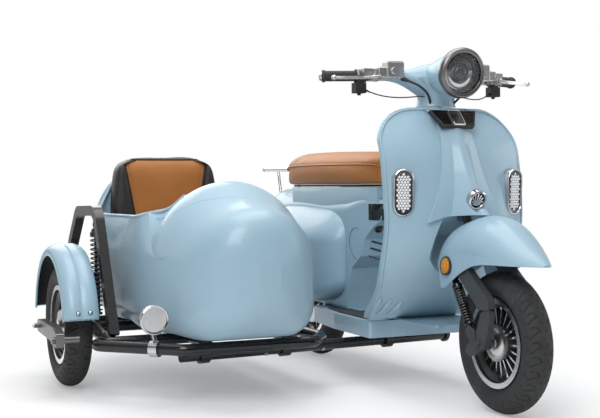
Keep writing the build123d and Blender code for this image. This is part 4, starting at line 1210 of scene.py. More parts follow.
# ---- bars and controls -----------------------------------------------------------------------
class SIDECAR_OT_controls(bpy.types.Operator):
    """Makes the grips, levers and the details of the control blocks"""

    bl_idname = "sidecar.controls"
    bl_label = "Controls"

    def execute(self, context):
        for word, side in SIDES:
            knuckle = Vector((side * 210, -916, 1054))
            end = Vector((side * 380, -843, 1054))
            ahead = (end - knuckle).normalized()
            grip = Form()
            profile = [(11.4, 60), (21, 60), (22.6, 62), (22.6, 66), (20, 68.5), (17.2, 70)]
            along = 74.0
            while along < 158:
                profile += [
                    (16.9, along), (18.0, along + 1.2), (18.0, along + 2.8), (16.9, along + 4)
                ]
                along += 5.6
            profile += [
                (17.4, 164), (20.4, 166), (20.8, 169), (20.4, 173), (17.5, 175.5), (15, 176)
            ]
            grip.lathe(profile, knuckle, ahead, 40)
            grip.lathe(
                [(15, 176), (15.6, 178), (15, 182), (12, 184.5), (6, 185.4), (0, 185.6)], knuckle,
                ahead, 40, tag=1
            )
            grip.lathe(
                [(0, 185.6), (3.4, 185.7), (3.4, 186.8), (0, 187.1)], knuckle, ahead, 6, tag=1
            )
            grip.lathe(
                [
                    (11.4, 28), (20.4, 29), (21.4, 31), (21.4, 42), (20.7, 43), (20.7, 45),
                    (21.4, 46), (21.4, 57), (20, 60), (11.4, 60)
                ],
                knuckle, ahead, 40, tag=2,
            )
            housing = knuckle + ahead * 48 + Vector((side * 6, 0, -40))
            for size, shift in (((38, 34, 34), 0), ((24, 28, 30), 20), ((10, 8, 8), -20)):
                grip.block(housing + Vector((0, 0, shift)), size)
            grip.piece(
                "grip_dressed_" + word, "steering", ["soft rubber", "chrome", "gunmetal"], "rubber",
                ["grip_" + word], bevel=1.4, angle=34,
            )
            self.lever(word, side)
            self.block_trim(word, side)
        return {"FINISHED"}

    def lever(self, word, side):
        """A cast lever that tapers to a ball, with its pivot."""
        path = curve_points(
            [
                (side * 226, -981, 1044), (side * 246, -985, 1042), (side * 268, -980, 1041),
                (side * 306, -965, 1041), (side * 344, -952, 1041), (side * 372, -943, 1041),
            ],
            8,
        )
        last = len(path) - 1
        radii = [6.4 - 2.6 * (i / last) ** 0.8 for i in range(last + 1)]
        lever = Form().tube(path, radii, 14, flat=1.25)
        lever.lathe(
            [(8.6 * sin(pi * i / 10), -8.6 * cos(pi * i / 10)) for i in range(11)], path[-1],
            (1, 0, 0), 18
        )
        lever.lathe(
            [(0, -13), (8, -13), (9, -12), (9, 12), (8, 13), (0, 13)], (side * 236, -966, 1044),
            (0, 0, 1), 20
        )
        lever.lathe(
            [(0, 13), (5.4, 13), (5.4, 17), (4.4, 18), (0, 18)], (side * 236, -966, 1044),
            (0, 0, 1), 6
        )
        lever.piece("lever_" + word, "steering", ["brushed silver"], "silver", angle=50)

    def block_trim(self, word, side):
        """The reservoir's lid line, sight glass ring, screws and hose union."""
        trim = Form()
        face = Vector((side * 172, -978.5, 1066))
        trim.lathe(
            [(5.5, 0), (11.5, 0), (12.2, 1.5), (11.2, 3.6), (8.8, 4.2), (7.4, 3.0), (5.5, 2.4)],
            face, (0, -1, 0), 32
        )
        trim.lathe([(0, 2.6), (4.5, 2.6), (6.0, 1.6), (6.4, 0)], face, (0, -1, 0), 24, tag=1)
        lid = [(side * x, y) for x, y in ((137, -975), (193, -975), (193, -937), (137, -937))]
        trim.slab(lid, 1095.5, 1098.5, "z")
        for x in (146, 184):
            trim.lathe(
                [(0, 1101), (2.6, 1100.6), (3.6, 1099.4), (3.8, 1098)], (side * x, -956, 0),
                (0, 0, 1), 16, tag=2
            )
        start, towards = (sided(side, *k) for k in HOSE_ROUTE[:2])
        ahead = (towards - start).normalized()
        for step in range(4):
            spot = start - ahead * (10 + 8 * step)
            trim.lathe(
                [(0, -3.6), (4.6, -3.2), (5.6, 0), (4.6, 3.2), (0, 3.6)], spot, ahead, 12, tag=2
            )
        stem = Vector((side * 211, -952, 1077))
        trim.lathe(
            [(4.4, 0.2), (6.5, 0.4), (7.2, 1.4), (6.4, 2.4), (4.4, 2.6)], stem, (0, 0, 1), 24,
            tag=1, closed=True
        )
        trim.piece(
            "control_trim_" + word, "steering", ["brushed silver", "black gloss", "chrome"],
            "silver",
            bevel=0.7, angle=34,
        )


# ---- badge and horn --------------------------------------------------------------------------
class SIDECAR_OT_badge(bpy.types.Operator):
    """Makes the fluted plate with its bare plaque, and the horn grille"""

    bl_idname = "sidecar.badge"
    bl_label = "Badge and horn"

    def execute(self, context):
        s = Plane((0, -1077, 910), (1, 0, 0), (0, -52, 40))
        plate = Form()
        outline = [(-86, 32.5), (86, 32.5), (58, -32.5), (-58, -32.5)]
        rows = []
        for inset, height in ((0, -16), (0, 0), (1.4, 1.6), (3.0, 1.6), (3.6, 0.4)):
            inside = [(a - copysign(inset, a), b - copysign(inset, b)) for a, b in outline]
            rows.append([s.at(a, b, height) for a, b in inside])
        plate.rows(rows, closed=True)
        plate.add([s.at(a * 0.98, b * 0.94, 0.4) for a, b in outline], [[0, 1, 2, 3]])
        flutes = 9
        for k in range(flutes):
            b = -26 + 52 * k / (flutes - 1)
            reach = 58 + (b + 32.5) / 65 * 28 - 5
            for low, high in ((-reach, -25), (25, reach)):
                plate.tube([s.at(low, b, 0.6), s.at(high, b, 0.6)], 2.3, 10)
        plaque = rounded([(-22, 31), (20, 31), (24, -31), (-18, -31)], 5, 5)
        rows = []
        for scale, height in ((1.0, -2), (1.04, 3.2), (1.0, 5.6), (0.93, 5.8), (0.9, 4.6)):
            upward = scale if scale < 1 else 1 + (scale - 1) * 0.7
            rows.append([s.at(a * scale, b * upward, height) for a, b in plaque])
        plate.rows(rows, closed=True, tag=1)
        inner = [s.at(a * 0.9, b * 0.9, 4.6) for a, b in plaque]
        plate.add(inner, [list(range(len(inner)))], tag=2)
        plate.piece(
            "badge_fluted", "chassis", ["bronze flutes", "mirror", "black gloss"], "silver",
            ["badge_plate"], angle=34,
        )
        self.horn()
        return {"FINISHED"}

    def horn(self):
        """The round horn grille with its fan of ribs."""
        s = Plane((0, -1200, 646), (1, 0, 0), (0, -0.92, -0.39))
        horn = Form()
        horn.lathe(
            [
                (26, -14), (31.8, -14), (32.4, 0), (31.4, 6), (28.6, 8.6), (25.4, 7.6), (23.6, 4),
                (23.2, -4)
            ],
            s.origin, s.out, 56, closed=True,
        )
        horn.lathe([(23.6, 0), (20, -5), (12, -7), (0, -7.4)], s.origin, s.out, 40, tag=1)
        root = (0, -19)
        for k in range(9):
            turn = radians(90 + (k - 4) * 17)
            reach = 2 * 23 * cos(turn - pi / 2) * 0.86
            way = Vector((cos(turn), sin(turn)))
            side = Vector((-way.y, way.x))
            corners = []
            for height in (-6, 1.6):
                for share, half in ((0.0, 0.7), (1.0, 2.3)):
                    for sign in (-1, 1):
                        spot = Vector(root) + way * reach * share + side * half * sign
                        corners.append(
                            s.at(spot.x, spot.y, height + (1.2 * share if height > 0 else 0))
                        )
            horn.add(corners, BOX_FACES, 2)
        horn.piece(
            "horn_fan", "chassis", ["chrome", "black gloss", "mirror"], "chrome", ["horn_grille"],
            angle=34
        )


def rounded(outline, radius, steps):
    """A flat outline with its corners rounded."""
    made = []
    total = len(outline)
    for i in range(total):
        here = Vector(outline[i])
        before = (Vector(outline[i - 1]) - here).normalized()
        after = (Vector(outline[(i + 1) % total]) - here).normalized()
        half = before.angle(after) / 2
        run = radius / tan(half)
        centre = here + (before + after).normalized() * radius / sin(half)
        start, end = here + before * run - centre, here + after * run - centre
        for k in range(steps + 1):
            made.append(tuple(centre + start.lerp(end, k / steps).normalized() * radius))
    return made


# ---- beads, seams and small panels -------------------------------------------------------------
def smoothed(points, passes=2):
    """Evens out a line laid over a faceted surface, keeping its ends."""
    for _ in range(passes):
        points = [points[0]] + [
            (points[i - 1] + points[i] * 2 + points[i + 1]) / 4 for i in range(1, len(points) - 1)
        ] + [points[-1]]
    return points


def between(table, y):
    """A row of a table of stations, blended at y."""
    for low, high in zip(table, table[1:]):
        if y <= high[0]:
            t = max(0.0, (y - low[0]) / (high[0] - low[0]))
            return [a + (b - a) * t for a, b in zip(low, high)]
    return list(table[-1])


# y from which rays run back to the leg shield, and to the body behind it.
SHIELD_RAY_Y = -1500.0
BODY_RAY_Y = -900.0
# x and z of the ends of the leg shield's ribs.
SHIELD_RIBS = (((223, 330), (219, 266)), ((186, 322), (197, 263)), ((147, 315), (161, 262)))
# x and z along the crease over the sidecar's cowl.
COWL_CREASE = (
    (-862, 590), (-829, 621), (-785, 645), (-743, 654), (-697, 660), (-642, 657), (-574, 641),
    (-498, 622),
)
# y and z of the seam on the body's side, and x and z of the slit beside the seat panel.
BODY_SEAM = (
    (-560, 536), (-548, 540), (-530, 536), (-512, 520), (-502, 493), (-506, 470), (-516, 452),
    (-532, 436), (-548, 424),
)
BODY_SLIT = ((40, 676), (48, 668), (54, 660), (58, 650), (60, 642))
# y and z along the front mudguard's hem.
GUARD_HEM = (
    (-1560, 458), (-1540, 458), (-1500, 458), (-1450, 458), (-1400, 458), (-1365, 455),
    (-1330, 452.5), (-1300, 442), (-1270, 430.5), (-1240, 414), (-1210, 398.5), (-1186, 384),
    (-1166, 373), (-1146, 369),
)
# Height and half width of the leg shield.
SHIELD_HALF = (
    (245, 205), (276, 226), (323, 238), (374, 247), (431, 256), (490, 256), (566, 255), (660, 257),
    (960, 258),
)
# y and z along the cockpit's opening, from its front.
COCKPIT_LINE = (
    (-664, 663), (-650, 652), (-620, 630), (-590, 616), (-540, 603), (-480, 593), (-400, 592),
    (-300, 591), (-200, 591), (-120, 591), (-60, 593), (0, 596), (44, 600), (64, 622), (76, 660),
    (88, 704), (98, 750), (104, 780),
)
# x and radius across the dark sheet of painted shade inside the sidecar's mudguard, and across its
# edge.
GUARD_SHADE_SHEET = (
    (-53.4, 246), (-53.2, 259), (-47, 266.4), (-24, 271), (0, 272.2), (24, 271), (47, 266.4),
    (53.2, 259), (53.4, 246),
)
GUARD_END = (
    (-57, 244), (-57, 258), (-52, 268), (-36, 274), (0, 276), (36, 274), (52, 268), (57, 258),
    (57, 244),
)


def smooth_loop(points, passes):
    """Evens out a line that runs back to its start."""
    return smoothed(points + points[:1], passes)[:-1]


class SIDECAR_OT_panels(bpy.types.Operator):
    """Makes the rolled edges, raised ribs, seams and small panels of the body"""

    bl_idname = "sidecar.panels"
    bl_label = "Panel details"

    def execute(self, context):
        bead = context.scene.sidecar_sizes.bead * 1000
        self.shield(bead)
        self.nose()
        self.sidecar(bead)
        self.guards(bead)
        return {"FINISHED"}

    def shield(self, bead):
        """The leg shield's rolled edge and its raised ribs."""
        skin = Skin("leg_shield")
        edge = Form()
        line = []
        z = 262.0
        while z < 806:
            line.append((between(SHIELD_HALF, z)[1] - 4.5, z))
            z += 17.0
        for k in range(1, 15):
            turn = radians(90 * k / 15)
            line.append((119 + 138.5 * cos(turn), 803 + 138.5 * sin(turn)))
        line.append((70, 941.5))
        for side in (-1, 1):
            starts = [(side * x, SHIELD_RAY_Y, z) for x, z in line]
            laid = skin.laid(starts, (0, 1, 0), 1.0)
            edge.tube(smoothed(laid), bead, 12)
        edge.piece("shield_bead", "chassis", ["body blue"], "blue", angle=60)
        ribs = Form()
        for side in (-1, 1):
            for top, bottom in SHIELD_RIBS:
                high, low = (sided(side, x, SHIELD_RAY_Y, z) for x, z in (top, bottom))
                starts = [high.lerp(low, k / 10) for k in range(11)]
                laid = smoothed(skin.laid(starts, (0, 1, 0), 1.5))
                fading = [8.8 - 0.5 * k for k in range(max(0, len(laid) - 4))]
                ribs.tube(laid, ([2.0, 6.0, 8.6] + fading + [2.0])[:len(laid)], 12)
        ribs.piece("shield_ribs", "chassis", ["body blue"], "blue", angle=60)

    def nose(self):
        """The black panel, knob and vents under the seat, and the body's seams in painted shade."""
        skin = Skin("rear_body")
        panel = Form()
        rows = []
        for i in range(9):
            z = 569 + 58 * i / 8
            starts = [(-86 + 172 * k / 24, BODY_RAY_Y, z) for k in range(25)]
            rows.append(skin.laid(starts, (0, 1, 0), 1.6))
        count = min(len(row) for row in rows)
        rows = [row[:count] for row in rows]
        panel.sheet(rows, [[p + Vector((0, 3.4, 0)) for p in row] for row in rows])
        panel.piece("seat_panel", "chassis", ["black gloss"], "plastic", angle=40)
        vents = Form()
        for top, low in ((492, 476), (467, 450), (438, 420)):
            starts = [
                (x, BODY_RAY_Y, low + (top - low) * abs(x) / 64) for x in range(-64, 65, 8)
            ]
            laid = skin.laid(starts, (0, 1, 0), 0.6)
            vents.tube(smoothed(laid, 1), [1.4] + [3.4] * (len(laid) - 2) + [1.4], 10)
        spot, out = skin.hit((-52, BODY_RAY_Y, 538), (0, 1, 0))
        vents.lathe(
            [(17, -3), (18, 1), (17, 6), (13, 9), (8, 9.6), (7.4, 13), (5, 14.6), (0, 15)], spot,
            out, 32
        )
        vents.piece("seat_vents", "chassis", ["black gloss"], "plastic", angle=40)
        seams = Form()
        for side in (-1, 1):
            starts = [(side * 300, y, z) for y, z in BODY_SEAM]
            laid = skin.laid(curve_points(starts, 6), (-side, 0, 0), -0.2)
            # The seam line is painted shade: a sunken tube in the darkened body paint.
            seams.tube(smoothed(laid), 1.7, 8)
            starts = [(side * x, BODY_RAY_Y, z) for x, z in BODY_SLIT]
            seams.tube(skin.laid(starts, (0, 1, 0), -0.4), 2.2, 8, tag=1)
        seams.piece("body_seams", "chassis", ["body shade", "black gloss"], "blue", angle=60)

    def sidecar(self, bead):
        """The rolled rim of the cockpit and the crease over the cowl."""
        skin = Skin("sidecar_body")
        starts = []
        for (y0, z0), (y1, z1) in zip(COCKPIT_LINE, COCKPIT_LINE[1:]):
            parts = max(2, int(sqrt((y1 - y0) ** 2 + (z1 - z0) ** 2) / 10))
            starts += [
                (y0 + (y1 - y0) * k / parts, z0 + (z1 - z0) * k / parts) for k in range(parts)
            ]
        rim = Form()
        halves = []
        for side in (-1, 1):
            laid = skin.laid(
                [(SIDECAR_X + side * 600, y, z - 3) for y, z in starts], (-side, 0, 0), -2.0
            )
            halves.append(smoothed([p + Vector((0, 0, 3)) for p in laid], 3))
        line = halves[0] + halves[1][::-1]
        rim.tube(smooth_loop(line, 3), bead * 1.5, 12, closed=True)
        rim.piece("cockpit_rim", "chassis", ["body blue"], "blue", angle=60)
        crease = Form()
        starts = curve_points([(x, SHIELD_RAY_Y, z) for x, z in COWL_CREASE], 6)
        laid = skin.laid(starts, (0, 1, 0), -1.2)
        crease.tube(smoothed(laid, 3), [0.8] + [2.4] * (len(laid) - 2) + [0.8], 10)
        crease.piece("cowl_crease", "chassis", ["body blue"], "blue", angle=60)

    def guards(self, bead):
        """Rolled edges of both mudguards, a dark sheet of painted shade inside the sidecar's
        mudguard, bolts and reflectors.
        """
        middle = Vector((-1107, -290, 216))

        def round_guard(radius, x, turn):
            return middle + Vector((x, radius * sin(turn), radius * cos(turn)))

        edge = Form()
        turns = [radians(-80.4 + 160.8 * k / 54) for k in range(55)]
        for x in (-58, 58):
            edge.tube([round_guard(244, x * 0.985, t) for t in turns], bead * 0.95, 10)
        for end in (-1, 1):
            arc = [round_guard(r - 2, x * 0.985, radians(80.8 * end)) for x, r in GUARD_END]
            edge.tube(arc, bead * 0.7, 10)
        edge.piece("side_guard_bead", "chassis", ["body blue"], "blue", angle=60)
        # Painted shade: a black sheet laid just inside the sidecar's mudguard.
        shade_sheet = Form()
        rows = [[round_guard(r, x, t) for x, r in GUARD_SHADE_SHEET] for t in turns]
        shade_sheet.sheet(rows, [[p + (middle - p).normalized() * 1.2 for p in row] for row in rows])
        shade_sheet.piece("side_guard_lining", "chassis", ["black moulding"], "black", angle=40)
        skin = Skin("sidecar_mudguard")
        heads = [
            skin.hit((x, BODY_RAY_Y, z), (0, 1, 0)) for x, z in ((-1122, 280), (-1082, 282))
        ]
        heads += [skin.hit((x, 300, 280), (0, -1, 0)) for x in (-1122, -1082)]
        unit = lathed_mesh(
            "dome", [(0, 4.4), (3.2, 4.0), (5.6, 2.4), (6.4, 0.6), (8.2, 0.5), (8.4, -0.6)], 20
        )
        as_piece(
            "side_guard_bolts", spread("side_guard_bolts", unit, heads, "chrome"), "chassis",
            angle=40
        )
        self.front_guard(bead)

    def front_guard(self, bead):
        """The front mudguard's rolled edge and its amber reflectors."""
        skin = Skin("front_mudguard")
        right, left = (
            skin.laid([(side * 400, y, z + 2.6) for y, z in GUARD_HEM], (-side, 0, 0), -0.6)
            for side in (-1, 1)
        )
        edge = Form().tube(smoothed(right[::-1] + left, 1), bead * 0.8, 10)
        edge.piece("front_guard_bead", "steering", ["body blue"], "blue", angle=60)
        lamps = Form()
        for side in (-1, 1):
            out = Matrix.Rotation(radians(side * 84), 3, "Y") @ Vector((0, 0, 1))
            spot = Vector((side * 101, -1180, 441)) + out * 1.0
            lamps.lathe(
                [(22, -6), (30, -5), (31, 0), (30, 4), (27.6, 5.6), (25.6, 5), (25, 2), (24, -4)],
                spot, out, 48, closed=True
            )
            s = Plane(spot, (0, 1, 0), out)
            lamps.lathe([(25.2, 1), (24.6, 4.6), (22, 6.2), (0, 6.6)], spot, out, 40, tag=1)
            for turn in (45, 135):
                ends = [s.polar(r, radians(turn), 6.5) for r in (-21, 21)]
                lamps.tube(ends, 0.8, 8, tag=1)
        lamps.piece(
            "guard_reflectors", "steering", ["black gloss", "amber lens"], "amber", ["reflectors"],
            angle=34
        )


# ---- seats -------------------------------------------------------------------------------------
CLOTH_FRAMES = 14
# Size and height of the rows that close a pad's end, as shares.
DOME = ((0.93, 0.45), (0.82, 0.72), (0.66, 0.86), (0.48, 0.94), (0.3, 0.98), (0.12, 1.0))


def mirrored(points):
    """A run of (x, y), reflected and in reverse order."""
    return [(-x, y) for x, y in reversed(points)]


class Pad:
    """A closed grid of points that is sewn down at its seams and swells between them."""

    def __init__(self, rows):
        self.rows = [[Vector(p) for p in row] for row in rows]
        self.count = len(rows[0])

    def close_ends(self, reach):
        """Adds shrinking rows that close both ends in a shallow dome."""
        for end in (0, -1):
            edge = self.rows[end]
            middle = sum(edge, Vector()) / len(edge)
            inner = self.rows[1 if end == 0 else -2]
            ahead = (middle - sum(inner, Vector()) / len(inner)).normalized()
            for share, rise in DOME:
                row = [middle + (p - middle) * share + ahead * reach * rise for p in edge]
                self.rows.insert(0, row) if end == 0 else self.rows.append(row)
        return self

    def mesh(self, name):
        form = Form().rows(self.rows, closed=True, caps=True)
        return new_mesh(name, [place(p) for p in form.points], form.faces)

    def swell(self, name, held, cap, pressure=4.0):
        """Blows the pad up as cloth, held at its seams, no point moving past cap."""
        scene = bpy.context.scene
        mesh = self.mesh(name + " cloth")
        b = bmesh.new()
        b.from_mesh(mesh)
        bmesh.ops.recalc_face_normals(b, faces=b.faces)
        b.to_mesh(mesh)
        b.free()
        blown = put(name + " cloth", mesh)
        sewn = blown.vertex_groups.new(name="sewn")
        for r in range(len(self.rows)):
            for k in range(self.count):
                if held(r, k):
                    sewn.add([r * self.count + k], 1.0, "REPLACE")
        cloth = blown.modifiers.new("cloth", "CLOTH")
        cloth.settings.quality = 5
        cloth.settings.mass = 0.3
        cloth.settings.tension_stiffness = 25.0
        cloth.settings.compression_stiffness = 25.0
        cloth.settings.bending_stiffness = 1.2
        cloth.settings.use_pressure = True
        cloth.settings.uniform_pressure_force = pressure
        cloth.settings.vertex_group_mass = "sewn"
        cloth.settings.effector_weights.gravity = 0.0
        cloth.collision_settings.use_collision = False
        cloth.point_cache.frame_start = 1
        cloth.point_cache.frame_end = CLOTH_FRAMES
        for frame_number in range(1, CLOTH_FRAMES + 1):
            scene.frame_set(frame_number)
        whole = blown.evaluated_get(bpy.context.evaluated_depsgraph_get())
        done = bpy.data.meshes.new_from_object(whole)
        for r, row in enumerate(self.rows):
            for k in range(self.count):
                spot = done.vertices[r * self.count + k].co * 1000.0 - SHIFT
                move = spot - row[k]
                if move.length > cap:
                    move *= cap / move.length
                row[k] = row[k] + move
        bpy.data.objects.remove(blown)
        bpy.data.meshes.remove(done)
        scene.frame_set(1)

    def piece(self, name, body, finishes, replaces, fill, choose=None):
        """Makes the pad; choose(r, k) gives the finish of a face."""
        mesh = self.mesh(name)
        for finish in finishes:
            mesh.materials.append(Finish.made[finish])
        if choose:
            last = len(self.rows) - 1
            for i, face in enumerate(mesh.polygons):
                row, k = divmod(i, self.count)
                if row >= last:
                    row, k = (last if k else 0), 0
                face.material_index = choose(row, k)
        made = as_piece(name, mesh, body, replaces, 70.0)
        smooth = made.modifiers.new("smooth", "SUBSURF")
        smooth.levels = smooth.render_levels = 1


def stitches(name, lines, body, finish, pitch=5.2):
    """Short sewn stitches along lines of points."""
    spots = []
    for line in lines:
        run = 0.0
        for one, two in zip(line, line[1:]):
            ahead = two - one
            while run < ahead.length:
                spots.append((one + ahead.normalized() * run, ahead))
                run += pitch
            run -= ahead.length
    unit = lathed_mesh("stitch", [(0, -1.9), (0.55, -1.5), (0.7, 0), (0.55, 1.5), (0, 1.9)], 6)
    as_piece(name, spread(name, unit, spots, finish), body, angle=60)


SEAT_ROWS = 76
# y, half width, and the heights of the base, the shoulder and the top.
SEAT_STATIONS = (
    (-702, 62, 698, 756, 788), (-686, 82, 698, 764, 802), (-640, 94, 698, 768, 808),
    (-560, 103, 698, 770, 811),
    (-420, 112, 698, 771, 815), (-270, 121, 698, 772, 818), (-120, 126, 698, 772, 819),
    (-20, 126, 698, 771, 818),
    (30, 119, 698, 767, 812), (52, 108, 698, 760, 803), (62, 95, 698, 754, 792),
)


class SIDECAR_OT_seat(bpy.types.Operator):
    """Makes the rider's padded seat with its piping and stitches"""

    bl_idname = "sidecar.seat"
    bl_label = "Seat"

    def execute(self, context):
        rows = []
        front, back = SEAT_STATIONS[0][0], SEAT_STATIONS[-1][0]
        for i in range(SEAT_ROWS + 1):
            y = front + (back - front) * i / SEAT_ROWS
            sizes = between(SEAT_STATIONS, y)[1:]
            rows.append([Vector((x, y, z)) for x, z in self.section(*sizes)])
        pad = Pad(smooth_rows(rows)).close_ends(7.0)
        crease = (17, 41)
        seam_row = 8
        pad.swell(
            "seat", lambda r, k: k in crease or k <= 9 or (r == seam_row and k < 59), 6.0
        )
        pad.piece("seat_padded", "seat", ["tan hide"], ["seat_cushion"], 0.85)
        piping = Form()
        left, right = ([row[k] for row in pad.rows[5:-5]] for k in crease)
        piping.tube(smooth_loop(left + right[::-1], 2), 2.6, 8, closed=True)
        seam = pad.rows[seam_row]
        piping.tube([seam[k] for k in range(11, 48)], 1.3, 6)
        piping.piece("seat_piping", "seat", ["tan hide"], "tan", angle=60)
        lines = []
        for k in (crease[0] + 1, crease[1] - 1):
            line = [row[k] for row in pad.rows[7:-7]]
            lines.append([p + (p - Vector((0, p.y, 740))).normalized() * 0.35 for p in line])
        stitches("seat_stitches", lines, "seat", "thread")
        return {"FINISHED"}

    def section(self, half, low, shoulder, top):
        """One upright section of the seat: flat base, bulged sides and crowned top."""
        base = [(-half * 0.93 + half * 1.86 * k / 9, low) for k in range(10)]
        flank = []
        for k in range(1, 8):
            bulge = 0.055 * sin(pi * min(1.0, 0.15 + k / 8 * 0.75))
            flank.append((half * (0.95 + bulge), low + (shoulder - low) * k / 8))
        crown = []
        for k in range(25):
            turn = pi * k / 24
            x = copysign(half * abs(cos(turn)) ** 0.72, cos(turn))
            crown.append((x, shoulder + (top - shoulder) * abs(sin(turn)) ** 0.72))
        return base + flank + crown + mirrored(flank)


def smooth_rows(rows, passes=2):
    """Evens a grid out from row to row."""
    for _ in range(passes):
        rows = [rows[0]] + [
            [(a + b * 2 + c) / 4 for a, b, c in zip(rows[i - 1], rows[i], rows[i + 1])]
            for i in range(1, len(rows) - 1)
        ] + [rows[-1]]
    return rows


# Heights and half widths of the backrest and of its tan panel.
BACKREST_HALF = (
    (440, 202), (520, 210), (620, 213), (720, 202), (752, 196), (772, 188), (786, 176), (796, 158),
    (803, 130),
)
BACKREST_SEAM = ((440, 112), (560, 126), (680, 144), (760, 158), (803, 168))
BACKREST_FOOT = 440.0
BACKREST_LEAN = radians(6)
CUSHION_BASE, CUSHION_SHOULDER = 352.0, 414.0


class SIDECAR_OT_passenger_seat(bpy.types.Operator):
    """Makes the sidecar's padded backrest, with its side bolsters, and its cushion"""

    bl_idname = "sidecar.passenger_seat"
    bl_label = "Passenger seat"

    def execute(self, context):
        self.backrest()
        self.cushion()
        return {"FINISHED"}

    def half(self, z):
        """Half width of the backrest at height z."""
        return between(BACKREST_HALF, z)[1]

    def seam(self, z):
        """Half width of the tan panel at height z."""
        return min(between(BACKREST_SEAM, z)[1], self.half(z) - 14)

    def backrest(self):
        """The backrest: a tan panel between two black bolsters."""
        heights = [442 + 8.4 * k for k in range(38)] + [760, 770, 779, 787, 794, 799, 803]
        side = 14
        middle = 22
        rows = []
        for z in heights:
            half, seam = self.half(z), self.seam(z)
            lean = Vector((0, tan(BACKREST_LEAN) * (z - BACKREST_FOOT), z))
            fall = 0.0 if z < 740 else 30 * (1 - sqrt(max(0.0, 1 - ((z - 740) / 66) ** 2)))
            bolster = []
            for k in range(side + 1):
                t = k / side
                proud = 17 * sin(pi * t**0.8) ** 0.7 if 0 < t < 1 else 0
                y = -proud + (6 if t == 1 else 14 * (1 - t) ** 3)
                bolster.append((-half + (half - seam) * t, y))
            shares = [k / middle for k in range(1, middle)]
            panel = [(-seam + 2 * seam * t, 5 - 9 * sin(pi * t) ** 0.6) for t in shares]
            flank = [(half + 1.5 * sin(pi * k / 6), 14 + 50 * k / 6) for k in range(1, 6)]
            rear = [(half * (1 - 2 * k / 16) * 0.985, 68 - 0.35 * fall) for k in range(17)]
            row = bolster + panel + mirrored(bolster) + flank + rear + mirrored(flank)
            rows.append(
                [
                    Vector((SIDECAR_X + x, -20 + y + (fall if y < 40 else 0), 0)) + lean
                    for x, y in row
                ]
            )
        pad = Pad(smooth_rows(rows, 1)).close_ends(5.0)
        left, right = side, side + middle
        back = 2 * side + middle + 5
        pad.swell("backrest", lambda r, k: k in (left, right) or k > back, 7.0, 5.0)
        pad.piece(
            "backrest_padded", "chassis", ["tan hide", "black hide"], ["sidecar_backrest"], 0.8,
            lambda r, k: 0 if left <= k < right and 6 <= r < len(pad.rows) - 7 else 1,
        )
        piping = Form()
        top = len(pad.rows) - 8
        for k in (left, right):
            line = [pad.rows[r][k] + Vector((0, -1.5, 0)) for r in range(6, top + 1)]
            piping.tube(smoothed(line, 2), 3.4, 8)
        over = [pad.rows[top][k] + Vector((0, -1.0, 1.0)) for k in range(left, right + 1)]
        piping.tube(smoothed(over, 1), 3.4, 8)
        piping.piece("backrest_piping", "chassis", ["black hide"], "black", angle=60)
        lines = []
        for k in (left + 1, right - 1):
            lines.append([pad.rows[r][k] + Vector((0, -0.5, 0)) for r in range(8, top - 1)])
        stitches("backrest_stitches", lines, "chassis", "thread")

    def cushion(self):
        """The flat cushion with its two seams."""
        rows = []
        for i in range(48):
            y = -398 + 370 * i / 47
            edge = min(i, 47 - i)
            draw = 26 * (1 - sqrt(max(0.0, 1 - (max(0, 4 - edge) / 4.5) ** 2)))
            half = 224 - 6 * i / 47 - draw
            base = [(-half * 0.95 + half * 1.9 * k / 12, CUSHION_BASE) for k in range(13)]
            flank = []
            for k in range(1, 6):
                z = CUSHION_BASE + (CUSHION_SHOULDER - CUSHION_BASE) * k / 6
                flank.append((half * (0.965 + 0.035 * sin(pi * k / 6)), z))
            crown = []
            for k in range(29):
                turn = pi * k / 28
                x = copysign(half * abs(cos(turn)) ** 0.55, cos(turn))
                crown.append((x, CUSHION_SHOULDER + (22 - draw * 0.6) * abs(sin(turn)) ** 0.6))
            row = base + flank + crown + mirrored(flank)
            rows.append([Vector((SIDECAR_X + x, y, z)) for x, z in row])
        pad = Pad(smooth_rows(rows, 1)).close_ends(5.0)
        creases = (18, 46)
        pad.swell(
            "cushion", lambda r, k: k <= 12 or k in creases or (k in (25, 39) and 6 < r < 52), 7.0,
            5.0
        )
        pad.piece("cushion_padded", "chassis", ["tan hide", "black hide"], ["sidecar_cushion"], 0.8,
                  lambda r,
                  k: 0 if creases[0] <= k < creases[1] and 4 <= r < len(pad.rows) - 5 else 1)
        piping = Form()
        left, right = ([row[k] for row in pad.rows[5:-5]] for k in creases)
        piping.tube(smooth_loop(left + right[::-1], 2), 3.2, 8, closed=True)
        for k in (25, 39):
            piping.tube([pad.rows[r][k] for r in range(7, 53)], 1.4, 6)
        piping.piece("cushion_piping", "chassis", ["black hide"], "black", angle=60)


# ---- fasteners, mat, tail lamp and seat rest -----------------------------------------------------
MAT_TOP = 239.0
MAT_STEPS = 46


